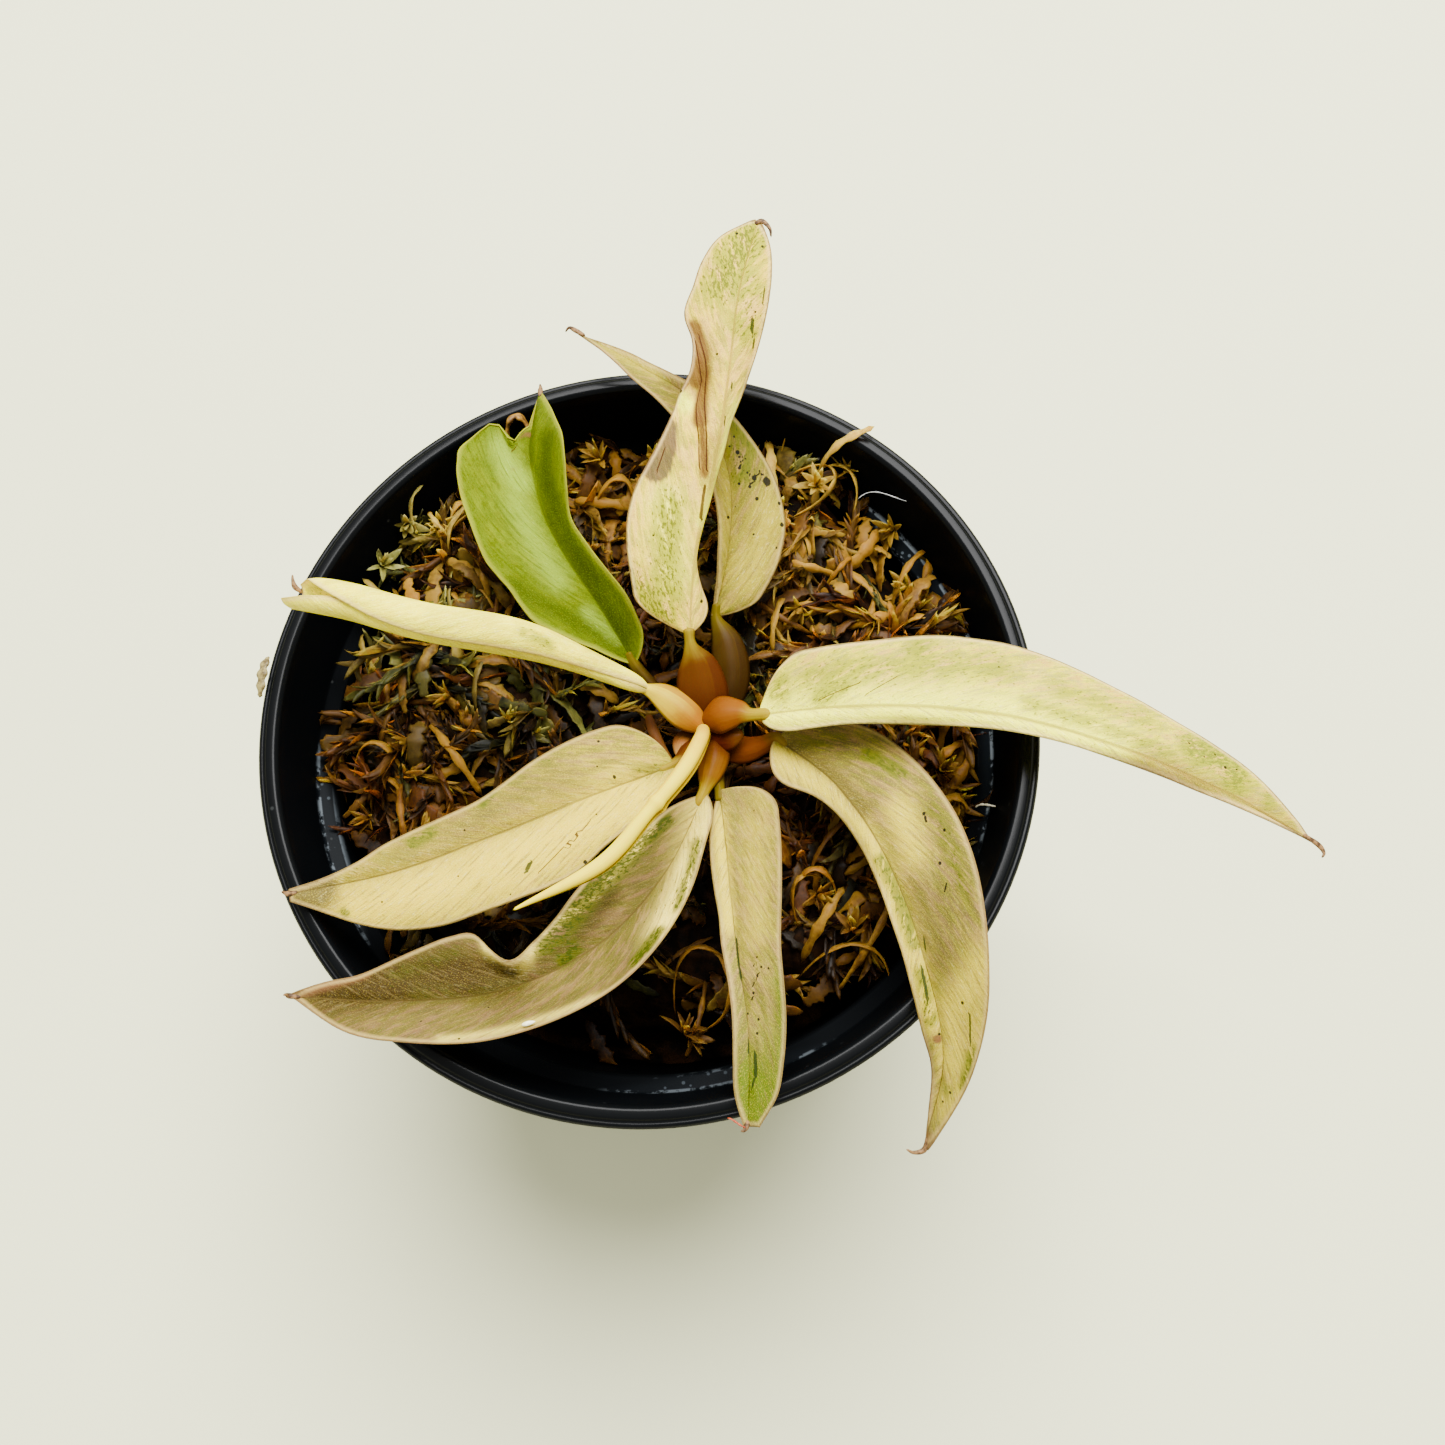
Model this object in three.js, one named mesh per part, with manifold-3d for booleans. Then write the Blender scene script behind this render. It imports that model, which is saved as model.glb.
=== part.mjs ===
// Potted variegated caramel marble philodendron
//
// A small climbing plant in a round nursery pot filled with sphagnum moss. Millimetres, +Z up, with the
// origin at the centre of the pot's underside. The pot's rim lies level, 80 mm above it.
//
// A leaf is a thin sheet on a curved spine, its midrib. Each half of the blade leaves the midrib at a slope
// and turns by a curl on its way to the margin, so flat, folded, arched and rolled leaves are one function.

import * as THREE from "three";
import { mergeVertices } from "three/addons/utils/BufferGeometryUtils.js";
import Module from "manifold-3d";

const wasm = await Module();
wasm.setup();

// Driving dimensions
const POT_HEIGHT = 80;
const RIM_RADIUS = 50;
const BASE_RADIUS = 36;
const WALL = 1.2;
const SKIRT_DEPTH = 6.5;
const LEDGE_DEPTH = 12;
const DRAIN_COUNT = 8;
const DRAIN_RADIUS = 3.2;
const DRAIN_CIRCLE = 28.5;
const CLEARANCE = 0.3;
const BLADE_THICKNESS = 0.7;
const NARROWEST = 0.5;
const MOSS_LEVEL = 66.5;
const CROWN = new THREE.Vector3(7, 0.3, 71);
const CROWN_RADIUS = 2.9;
const CROWN_ROOT = 34;
const POT_SEGMENTS = 60;

// Pot section
// The wall tapers down from the rim. The rim turns outward and down in a thin skirt, and a narrow ledge
// runs round the inside, where the stack of empty pots would rest on each other.
const FLOOR_TOP = 1.8;
const INNER_RIM = RIM_RADIUS - 2.8;
const LEDGE_TOP = POT_HEIGHT - LEDGE_DEPTH;
const INNER_LEDGE = INNER_RIM - 2;
const INNER_WALL = INNER_LEDGE - 0.9;
const INNER_BASE = BASE_RADIUS - WALL - 0.5;

function innerRadius(z) {
  const climb = (z - FLOOR_TOP) / (LEDGE_TOP - 1 - FLOOR_TOP);
  return THREE.MathUtils.lerp(INNER_BASE, INNER_WALL, THREE.MathUtils.clamp(climb, 0, 1));
}

// Leaves
// Widths, slopes and curls are at even steps from the neck to the tip, widths in mm and angles in degrees.
// Left and right are as seen from above, looking from the neck to the tip. A positive slope or curl lifts
// the margin.
const LEAVES = {
  leaf_east: {
    color: 0xd8cf9c,
    heel: 6,
    spine: [
      [14.5, 1, 79.5], [27.5, 0, 86.5], [42.5, -2, 89.5],
      [57, -5.5, 87.5], [70.5, -10, 83], [83.5, -15.5, 77],
    ],
    left: {
      width: [7.5, 8.5, 10, 9.5, 7.5, 4.5, 0],
      slope: [5, 0, -5, -5, -5],
      curl: [-15, -10, -25, -20, -10],
    },
    right: {
      width: [3, 3.5, 3.5, 2.5, 2, 1.5, 0],
      slope: [-20, -62, -66, -60, -40],
      curl: [-15, -10, 10, 15, 0],
    },
    wave: { height: 0.5, count: 2.5, phase: 0.4 },
  },
  leaf_southeast: {
    color: 0xc9b98c,
    heel: 4,
    spine: [
      [16.5, -1, 75.5], [24, -9, 79], [29.5, -19.5, 82],
      [33, -31, 84], [35.5, -42, 81.5], [34, -52, 75],
    ],
    left: {
      width: [4, 9, 11, 11, 8.5, 4.5, 0.5],
      slope: [0, 25, 45, 50, 35],
      curl: [-20, -20, -10, 0, 0],
    },
    right: {
      width: [3.5, 3.5, 2, 3, 3.5, 1.5, 0],
      slope: [10, -5, -5, -15],
      curl: [-10, -20, -25, -30],
    },
    wave: { height: 0.6, count: 2, phase: 1 },
  },
  leaf_south: {
    color: 0xc6b78a,
    heel: 4,
    spine: [[9.3, -8, 76], [10.5, -18, 79], [11.5, -28, 81.5], [13, -38.5, 82.5], [13.5, -49, 82]],
    left: {
      width: [8, 7.5, 6.5, 5.5, 4.5, 3.5, 0.5],
      slope: [20, 35, 30, 20],
      curl: [10, 10, 10, 30],
    },
    right: {
      width: [1, 2, 3, 2.5, 2, 2.5, 0.5],
      slope: [-5, 5, 10, 10],
      curl: [-30, -20, -10, -10],
    },
    wave: { height: 0.3, count: 2, phase: 0 },
  },
  leaf_southwest_lower: {
    color: 0xbfb183,
    heel: 5,
    spine: [
      [7.5, -8.5, 76.5], [2.5, -19.5, 80], [-6, -28, 81.5],
      [-17, -33, 82.5], [-29.5, -34.5, 83], [-42, -34.5, 82.5],
    ],
    left: {
      width: [2.5, 3.5, 6, 6.5, 6.5, 6, 5.5, 4, 0],
      slope: [35, 30, 30, 10],
      curl: [-10, 20, 20, 0],
    },
    right: {
      width: [1.5, 3.5, 5.5, 6, 3.5, 7.5, 6.5, 3, 0],
      slope: [8, 10, 8, 0],
      curl: [-10, -10, -10, 0],
    },
    wave: { height: 0.3, count: 2, phase: 2 },
  },
  leaf_southwest_upper: {
    color: 0xcdbf92,
    heel: 6,
    spine: [[3.5, -5, 77.5], [-7.5, -10, 80.5], [-19, -15, 81.5], [-31, -19.5, 82], [-43.5, -22, 82]],
    left: {
      width: [5, 5.5, 7, 8.5, 8.5, 6, 0],
      slope: [12, 16, 14, 0],
      curl: [-25, -30, -30, -10],
    },
    right: {
      width: [7, 8, 7.5, 5.5, 5, 3.5, 0],
      slope: [12, 14, 12, 0],
      curl: [-25, -25, -25, -10],
    },
    wave: { height: 0.3, count: 2.5, phase: 0.5 },
  },
  leaf_green: {
    color: 0xa8c040,
    heel: 4,
    rows: 18,
    spine: [
      [-2, 9.5, 75], [-6, 16, 77.5], [-10.5, 22.5, 80],
      [-14, 29.5, 81.5], [-15.5, 37.5, 82.5], [-14.5, 45.5, 83],
    ],
    left: {
      width: [2, 3, 5.5, 8, 9, 10, 10, 10, 7.5, 0, 0],
      slope: [5, 0, 0, 0],
      curl: [20, 20, 30, 10],
    },
    right: {
      width: [3, 3, 4, 4, 4, 4, 5.5, 6.5, 6, 3.5, 0],
      slope: [25, 30, 38, 30],
      curl: [10, 20, 20, 10],
    },
    wave: { height: 0.4, count: 1.5, phase: 0 },
  },
  leaf_north_back: {
    color: 0xc4b68c,
    heel: 4,
    spine: [
      [8.5, 16, 75], [10.5, 25, 78.5], [10.5, 34, 81.5],
      [6.5, 43, 83], [-1.5, 48, 85], [-9.5, 53.5, 84],
    ],
    left: {
      width: [1, 2, 4.5, 5, 5, 2.5, 0],
      slope: [50, 45, 20, 25],
      curl: [10, 0, 20, 60],
    },
    right: {
      width: [4, 6, 7.5, 5, 1.5, 1, 0],
      slope: [0, 0, 10, 25],
      curl: [-15, -20, -20, 40],
    },
    wave: { height: 0.3, count: 2, phase: 0 },
  },
  leaf_north: {
    color: 0xd9cfa4,
    heel: 5,
    rows: 16,
    spine: [
      [5.5, 11.5, 80.5], [6.5, 21, 85.5], [9, 30.5, 90],
      [11, 40, 94.5], [12.5, 50.5, 97.5], [15, 61, 97.5],
    ],
    left: {
      width: [6, 7.5, 9.5, 8.5, 6.5, 6.5, 7, 6, 0],
      slope: [10, 15, 10, -10, -5, 0],
      curl: [-20, -25, -25, -30, -10, 0],
    },
    right: {
      width: [3, 1.5, 2, 2.5, 2, 3, 4, 3.5, 0],
      slope: [-15, -70, -70, -30, -5, 0],
      curl: [-20, -10, -10, -20, -10, 0],
    },
    wave: { height: 0.3, count: 2, phase: 1 },
  },
  leaf_west: {
    color: 0xe9e6ae,
    heel: 3,
    columns: 16,
    spine: [[0, 5, 77.8], [-12.5, 8, 84.5], [-26, 9, 91], [-35, 11.5, 92], [-43, 14.5, 87.5]],
    left: {
      width: [2, 3.4, 4.6, 5.2, 5.4, 5.2, 4],
      slope: [0, 0, 0],
      curl: [150, 190, 200, 200, 190, 160, 130],
    },
    right: {
      width: [2.4, 4.8, 7.4, 8.2, 7.6, 5.6, 2],
      slope: [0, 0, 0],
      curl: [190, 225, 235, 235, 215, 160, 75],
    },
    wave: { height: 0, count: 1, phase: 0 },
  },
};

// Leaf stalks
// Each grows from the crown as a flat sheath and narrows to the neck of its blade. Widths and depths are
// whole sizes at even steps.
const STALKS = {
  north: {
    spine: [[7, 1, 72], [7.2, 5, 76.2], [6.3, 8.2, 78.8], [5.5, 10.8, 80.2]],
    width: [3.4, 6, 4.6, 1.9],
    depth: [3, 3, 2.2, 1.4],
  },
  north_back: {
    spine: [[8, 2, 70], [9.6, 8.5, 72.2], [8.6, 15.5, 74.8]],
    width: [3, 4, 1.8],
    depth: [2.6, 2.4, 1.4],
  },
  east: {
    spine: [[7.5, 0.5, 74], [10.5, 1, 78.2], [12.6, 1, 79], [13.8, 1, 79.2]],
    width: [4, 5, 3, 1.9],
    depth: [3, 2.8, 2.2, 1.4],
  },
  southeast: {
    spine: [[7.5, -0.5, 71.5], [12.2, -1.4, 74.4], [15.5, -0.7, 75.2]],
    width: [4, 3.2, 1.8],
    depth: [3, 2.6, 1.4],
  },
  south: {
    spine: [[7.5, -1, 70], [8, -4.6, 73.4], [9, -7.2, 75.5]],
    width: [3.4, 2.6, 1.6],
    depth: [2.8, 2, 1.3],
  },
  southwest_lower: {
    spine: [[8, 0, 72], [8.2, -4.2, 75.6], [7.4, -7.9, 76]],
    width: [3.6, 3.2, 1.4],
    depth: [3, 2.6, 1.3],
  },
  southwest_upper: {
    spine: [[7, 0, 71.5], [5.4, -3, 75.4], [3.9, -4.8, 77.2]],
    width: [3.6, 2.6, 1.6],
    depth: [3, 2, 1.3],
  },
  green: {
    spine: [[7, 0.5, 70.5], [2.5, 4.5, 72.8], [-1.7, 9, 74.6]],
    width: [3, 2.2, 1.6],
    depth: [2.6, 2, 1.3],
  },
};
const SHEATH_PIECE = {
  spine: [[5.6, 0.4, 71.5], [3.6, -0.8, 74.4], [3.2, -2.6, 75.2]],
  width: [3, 2.6, 1.2],
  depth: [1.6, 1.2, 1],
};
const WEST_STALK = {
  spine: [[6.8, 0.9, 76.2], [3.2, 3.9, 77.4], [-0.2, 5.05, 77.9]],
  width: [4.4, 3, 1.6],
  depth: [2, 1.8, 1.3],
};
const SPEAR = {
  spine: [
    [7.2, -0.2, 76.6], [7.7, -4, 83.6], [5.4, -9.2, 87.5],
    [1, -15.5, 88.8], [-5, -21.5, 88.3], [-14.5, -25.5, 86.5],
  ],
  width: [1.6, 2, 2.1, 2, 1.6, 1],
  depth: [1.6, 2, 2.1, 2, 1.6, 1],
  seam: 0.3,
};

// Moss
// Mounds are hand-placed rises in the bed as [x, y, radius, height].
const MOUNDS = [
  [24, 31, 11, 6],
  [30, 17, 9, 4],
  [-27, 22, 12, 3],
  [-24, 4, 12, 2.5],
  [-33, -6, 8, 2],
  [21, -24, 8, 2],
  [31, -10, 7, 2.5],
  [2, 38, 8, 3],
  [-8, -38, 12, -4],
];
const MOSS_SEED = 11;
const STRAND_SHARE = 0.16;
const STRANDS_FROM_CROWN = 15;
const STRANDS_FROM_AXIS = 36;
const STRAND_SIZE = 0.8;
const MOSS_RINGS = 12;
const MOSS_SECTORS = 48;
const HIGHEST_STRAND = 74.5;

// Helpers: solids and geometries
function toSolid(geometry) {
  const bare = geometry.clone();
  bare.deleteAttribute("normal");
  bare.deleteAttribute("uv");
  const merged = mergeVertices(bare, 1e-4);
  const vertProperties = new Float32Array(merged.attributes.position.array);
  const triVerts = new Uint32Array(merged.index.array);
  return new wasm.Manifold(new wasm.Mesh({ numProp: 3, vertProperties, triVerts }));
}

function toGeometry(solid) {
  const mesh = solid.getMesh();
  const geometry = new THREE.BufferGeometry();
  geometry.setAttribute("position", new THREE.BufferAttribute(new Float32Array(mesh.vertProperties), 3));
  geometry.setIndex(new THREE.BufferAttribute(new Uint32Array(mesh.triVerts), 1));
  geometry.computeVertexNormals();
  return geometry;
}

function fromTriangles(points, triangles) {
  const geometry = new THREE.BufferGeometry();
  geometry.setFromPoints(points);
  geometry.setIndex(triangles);
  geometry.computeVertexNormals();
  return geometry;
}

// Helpers: smooth values along a length
function smoothPath(points) {
  return new THREE.CatmullRomCurve3(points.map((p) => new THREE.Vector3(...p)), false, "catmullrom", 0.5);
}

function smoothValue(values) {
  const curve = smoothPath(values.map((value) => [value, 0, 0]));
  return (t) => curve.getPoint(t).x;
}

// The path's place at t, with its direction, the level direction to its right and the upward one
function frameAt(path, t) {
  const step = 1e-4;
  const place = path.getPoint(t);
  const ahead = path.getPoint(Math.min(t + step, 1)).sub(path.getPoint(Math.max(t - step, 0))).normalize();
  const right = new THREE.Vector3(ahead.y, -ahead.x, 0).normalize();
  const up = right.clone().cross(ahead);
  return { place, ahead, right, up };
}

// Helper: a closed sheet of even thickness about the surface point(t, s), t in 0..1 and s in -1..1
function sheet(point, rows, columns, thickness) {
  const reach = 0.01;
  const faces = [[], []];
  for (let i = 0; i <= rows; i += 1) {
    const t = (1 - Math.cos((Math.PI * i) / rows)) / 2;
    for (let j = 0; j <= columns; j += 1) {
      const s = (2 * j) / columns - 1;
      const along = point(Math.min(t + reach, 1), s).sub(point(Math.max(t - reach, 0), s));
      const across = point(t, Math.min(s + 4 * reach, 1)).sub(point(t, Math.max(s - 4 * reach, -1)));
      const normal = across.cross(along).normalize().multiplyScalar(thickness / 2);
      faces[0].push(point(t, s).add(normal));
      faces[1].push(point(t, s).sub(normal));
    }
  }
  const under = faces[0].length;
  const triangles = [];
  const quad = (a, b, c, d) => triangles.push(a, b, c, a, c, d);
  const at = (i, j) => i * (columns + 1) + j;
  for (let i = 0; i < rows; i += 1) {
    for (let j = 0; j < columns; j += 1) {
      quad(at(i, j), at(i, j + 1), at(i + 1, j + 1), at(i + 1, j));
      triangles.push(under + at(i, j), under + at(i + 1, j + 1), under + at(i, j + 1));
      triangles.push(under + at(i, j), under + at(i + 1, j), under + at(i + 1, j + 1));
    }
  }
  for (let i = 0; i < rows; i += 1) {
    quad(at(i, 0), at(i + 1, 0), under + at(i + 1, 0), under + at(i, 0));
    quad(at(i, columns), under + at(i, columns), under + at(i + 1, columns), at(i + 1, columns));
  }
  for (let j = 0; j < columns; j += 1) {
    quad(at(0, j), under + at(0, j), under + at(0, j + 1), at(0, j + 1));
    quad(at(rows, j), at(rows, j + 1), under + at(rows, j + 1), under + at(rows, j));
  }
  return fromTriangles([...faces[0], ...faces[1]], triangles);
}

// Helper: a closed rod whose section at t is given by outline(t, angle) as a point in space
function rod(path, outline, rings, sides) {
  const points = [];
  for (let i = 0; i <= rings; i += 1) {
    for (let j = 0; j < sides; j += 1) {
      points.push(outline(i / rings, (2 * Math.PI * j) / sides));
    }
  }
  const triangles = [];
  for (let i = 0; i < rings; i += 1) {
    for (let j = 0; j < sides; j += 1) {
      const a = i * sides + j;
      const b = i * sides + ((j + 1) % sides);
      triangles.push(a, b + sides, b, a, a + sides, b + sides);
    }
  }
  const start = points.push(path.getPoint(0)) - 1;
  const end = points.push(path.getPoint(1)) - 1;
  for (let j = 0; j < sides; j += 1) {
    const next = (j + 1) % sides;
    triangles.push(start, j, next);
    triangles.push(end, rings * sides + next, rings * sides + j);
  }
  return fromTriangles(points, triangles);
}

function pot() {
  const rimTop = POT_HEIGHT;
  const profile = [
    [0, 0],
    [BASE_RADIUS - 1.2, 0],
    [BASE_RADIUS, 1.2],
    [INNER_WALL + WALL, LEDGE_TOP - 2],
    [INNER_RIM + 0.4, rimTop - SKIRT_DEPTH],
    [INNER_RIM + 0.8, rimTop - 1.6],
    [RIM_RADIUS - 1.2, rimTop - 1.8],
    [RIM_RADIUS - 1.6, rimTop - SKIRT_DEPTH],
    [RIM_RADIUS - 0.6, rimTop - SKIRT_DEPTH],
    [RIM_RADIUS, rimTop - 1.1],
    [RIM_RADIUS - 0.4, rimTop - 0.5],
    [RIM_RADIUS - 0.9, rimTop - 0.6],
    [RIM_RADIUS - 1.2, rimTop - 0.1],
    [RIM_RADIUS - 2.3, rimTop],
    [INNER_RIM, rimTop - 0.5],
    [INNER_LEDGE, LEDGE_TOP + 0.4],
    [INNER_LEDGE - 0.7, LEDGE_TOP],
    [INNER_WALL, LEDGE_TOP - 1],
    [INNER_BASE, FLOOR_TOP],
    [0, FLOOR_TOP],
  ];
  const shell = new THREE.LatheGeometry(profile.map(([r, z]) => new THREE.Vector2(r, z)), POT_SEGMENTS);
  shell.rotateX(Math.PI / 2);
  let solid = toSolid(shell);
  for (let k = 0; k < DRAIN_COUNT; k += 1) {
    const angle = (2 * Math.PI * (k + 0.5)) / DRAIN_COUNT;
    const drain = new THREE.CylinderGeometry(DRAIN_RADIUS, DRAIN_RADIUS, 4 * FLOOR_TOP, 14);
    drain.rotateX(Math.PI / 2);
    drain.translate(DRAIN_CIRCLE * Math.cos(angle), DRAIN_CIRCLE * Math.sin(angle), 0);
    solid = solid.subtract(toSolid(drain));
  }
  return toGeometry(solid);
}

// The half of a blade as a circular arc: how far out and up a point lies after a distance along it
function arc(distance, width, slope, curl) {
  const start = THREE.MathUtils.degToRad(slope);
  const turn = THREE.MathUtils.degToRad(Math.abs(curl) < 0.01 ? 0.01 : curl);
  const radius = width / turn;
  const angle = start + (turn * distance) / width;
  return [radius * (Math.sin(angle) - Math.sin(start)), radius * (Math.cos(start) - Math.cos(angle))];
}

function leaf(spec) {
  const path = smoothPath(spec.spine);
  const length = path.getLength();
  const halves = [spec.left, spec.right].map((half) => ({
    width: smoothValue(half.width),
    slope: smoothValue(half.slope),
    curl: smoothValue(half.curl),
  }));
  const point = (t, s) => {
    const { place, right, up } = frameAt(path, t);
    const half = s < 0 ? halves[0] : halves[1];
    const pastHeel = Math.min((t * length) / spec.heel, 1);
    const rounding = Math.sqrt(1 - (1 - pastHeel) ** 2);
    const width = Math.max(half.width(t) * rounding, NARROWEST);
    const [out, rise] = arc(Math.abs(s) * width, width, half.slope(t), half.curl(t));
    const swing = Math.sin(2 * Math.PI * spec.wave.count * t + spec.wave.phase);
    const ripple = spec.wave.height * s * s * rounding * swing;
    return place.addScaledVector(right, Math.sign(s) * out).addScaledVector(up, rise + ripple);
  };
  return sheet(point, spec.rows ?? 13, spec.columns ?? 8, BLADE_THICKNESS);
}

function stalk(spec) {
  const path = smoothPath(spec.spine);
  const width = smoothValue(spec.width);
  const depth = smoothValue(spec.depth);
  const outline = (t, angle) => {
    const { place, right, up } = frameAt(path, t);
    place.addScaledVector(right, (width(t) / 2) * Math.cos(angle));
    return place.addScaledVector(up, (depth(t) / 2) * Math.sin(angle));
  };
  return rod(path, outline, 5, 8);
}

// The rolled new leaf: its section grows round the rod and drops back at the seam
function spearRod() {
  const path = smoothPath(SPEAR.spine);
  const width = smoothValue(SPEAR.width);
  const outline = (t, angle) => {
    const { place, right, up } = frameAt(path, t);
    const radius = (width(t) / 2) * (1 - SPEAR.seam * (angle / (2 * Math.PI)) * Math.sin(Math.PI * t));
    place.addScaledVector(right, radius * Math.cos(angle));
    return place.addScaledVector(up, radius * Math.sin(angle));
  };
  return rod(path, outline, 16, 10);
}

// The room that a stalk needs round it, rounded at its start
function roomFor(spec) {
  const margin = 2.4 * CLEARANCE;
  const widen = (sizes) => sizes.map((size) => size + margin);
  const grown = { ...spec, width: widen(spec.width), depth: widen(spec.depth) };
  const end = new THREE.SphereGeometry(grown.width[0] / 2, 12, 8);
  end.scale(1, 1, grown.depth[0] / grown.width[0]);
  end.translate(...spec.spine[0]);
  return toSolid(stalk(grown)).add(toSolid(end));
}

// Stem and the stalks that grow from it, as one body
function stem() {
  const height = CROWN.z - CROWN_ROOT;
  const post = new THREE.CylinderGeometry(CROWN_RADIUS, CROWN_RADIUS * 0.7, height, 14);
  post.rotateX(Math.PI / 2);
  post.translate(CROWN.x, CROWN.y, CROWN_ROOT + height / 2);
  const crown = new THREE.SphereGeometry(CROWN_RADIUS, 14, 8);
  crown.translate(CROWN.x, CROWN.y, CROWN.z);
  let solid = toSolid(post).add(toSolid(crown));
  for (const spec of [...Object.values(STALKS), SHEATH_PIECE]) {
    solid = solid.add(toSolid(stalk(spec)));
  }
  return toGeometry(solid.subtract(roomFor(WEST_STALK)).subtract(roomFor(SPEAR)));
}

// The rolled leaf and its own pale stalk, as one body
function leafWest() {
  const whole = toSolid(leaf(LEAVES.leaf_west)).add(toSolid(stalk(WEST_STALK)));
  return toGeometry(whole.subtract(roomFor(SPEAR)));
}

// Repeatable random numbers, and a smooth bumpy field made from them
function randomSource(seed) {
  let state = seed;
  return () => {
    state = (state * 1664525 + 1013904223) % 4294967296;
    return state / 4294967296;
  };
}

function cellValue(i, j) {
  const mixed = Math.sin(i * 127.1 + j * 311.7) * 43758.5453;
  return mixed - Math.floor(mixed);
}

function bumps(x, y) {
  const i = Math.floor(x);
  const j = Math.floor(y);
  const u = THREE.MathUtils.smoothstep(x - i, 0, 1);
  const v = THREE.MathUtils.smoothstep(y - j, 0, 1);
  const low = THREE.MathUtils.lerp(cellValue(i, j), cellValue(i + 1, j), u);
  const high = THREE.MathUtils.lerp(cellValue(i, j + 1), cellValue(i + 1, j + 1), u);
  return 2 * THREE.MathUtils.lerp(low, high, v) - 1;
}

// Height of the moss over the plane, lower round the crown and at the pot's wall
function mossHeight(x, y) {
  let height = MOSS_LEVEL + 2.2 * bumps(x / 7, y / 7) + 1.4 * bumps(x / 3.5 + 20, y / 3.5);
  for (const [mx, my, radius, rise] of MOUNDS) {
    const away = Math.hypot(x - mx, y - my) / radius;
    height += rise * Math.exp(-away * away);
  }
  const fromWall = innerRadius(LEDGE_TOP) - Math.hypot(x, y);
  height -= 3.5 * Math.exp(-fromWall / 3);
  const fromCrown = Math.hypot(x - CROWN.x, y - CROWN.y);
  const ceiling = THREE.MathUtils.lerp(MOSS_LEVEL + 0.5, MOSS_LEVEL + 5, Math.min(fromCrown / 14, 1));
  return Math.min(height, ceiling + Math.max(0, fromCrown / 7.5 - 2.4));
}

function mossBed() {
  const bottom = FLOOR_TOP + CLEARANCE;
  const topRadius = innerRadius(LEDGE_TOP - 3) - CLEARANCE;
  const points = [new THREE.Vector3(0, 0, mossHeight(0, 0))];
  for (let ring = 1; ring <= MOSS_RINGS; ring += 1) {
    for (let sector = 0; sector < MOSS_SECTORS; sector += 1) {
      const angle = (2 * Math.PI * (sector + 0.3 * cellValue(ring, sector))) / MOSS_SECTORS;
      const away = topRadius * (ring / MOSS_RINGS);
      const z = mossHeight(away * Math.cos(angle), away * Math.sin(angle));
      const radius = ring === MOSS_RINGS ? innerRadius(z) - 1.3 * CLEARANCE : away;
      points.push(new THREE.Vector3(radius * Math.cos(angle), radius * Math.sin(angle), z));
    }
  }
  const lowRing = points.length;
  for (let sector = 0; sector < MOSS_SECTORS; sector += 1) {
    const angle = (2 * Math.PI * sector) / MOSS_SECTORS;
    const radius = innerRadius(bottom) - CLEARANCE;
    points.push(new THREE.Vector3(radius * Math.cos(angle), radius * Math.sin(angle), bottom));
  }
  const floor = points.push(new THREE.Vector3(0, 0, bottom)) - 1;
  const triangles = [];
  for (let sector = 0; sector < MOSS_SECTORS; sector += 1) {
    const next = (sector + 1) % MOSS_SECTORS;
    triangles.push(0, 1 + sector, 1 + next);
    triangles.push(floor, lowRing + next, lowRing + sector);
    for (let ring = 1; ring <= MOSS_RINGS; ring += 1) {
      const inner = 1 + (ring - 1) * MOSS_SECTORS;
      const outer = ring === MOSS_RINGS ? lowRing : inner + MOSS_SECTORS;
      triangles.push(inner + sector, outer + sector, inner + next);
      triangles.push(inner + next, outer + sector, outer + next);
    }
  }
  return fromTriangles(points, triangles);
}

// One strand of moss: a bent three-sided spike, rooted well inside the bed
function strand(root, heading, lift, length) {
  const reach = new THREE.Vector3(Math.cos(heading), Math.sin(heading), 0);
  const foot = root.clone().addScaledVector(reach, -0.3);
  const mid = root.clone().addScaledVector(reach, 0.4 * length);
  const tip = root.clone().addScaledVector(reach, length);
  foot.z -= 2;
  mid.z = Math.min(root.z + lift, HIGHEST_STRAND);
  tip.z = Math.min(root.z + 0.8 * lift, HIGHEST_STRAND);
  const path = smoothPath([foot, root, mid, tip].map((p) => p.toArray()));
  const outline = (t, angle) => {
    const { place, right, up } = frameAt(path, t);
    const size = STRAND_SIZE * (1 - 0.6 * t * t);
    place.addScaledVector(right, size * Math.cos(angle));
    return place.addScaledVector(up, 0.7 * size * Math.sin(angle));
  };
  return rod(path, outline, 4, 3);
}

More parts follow.
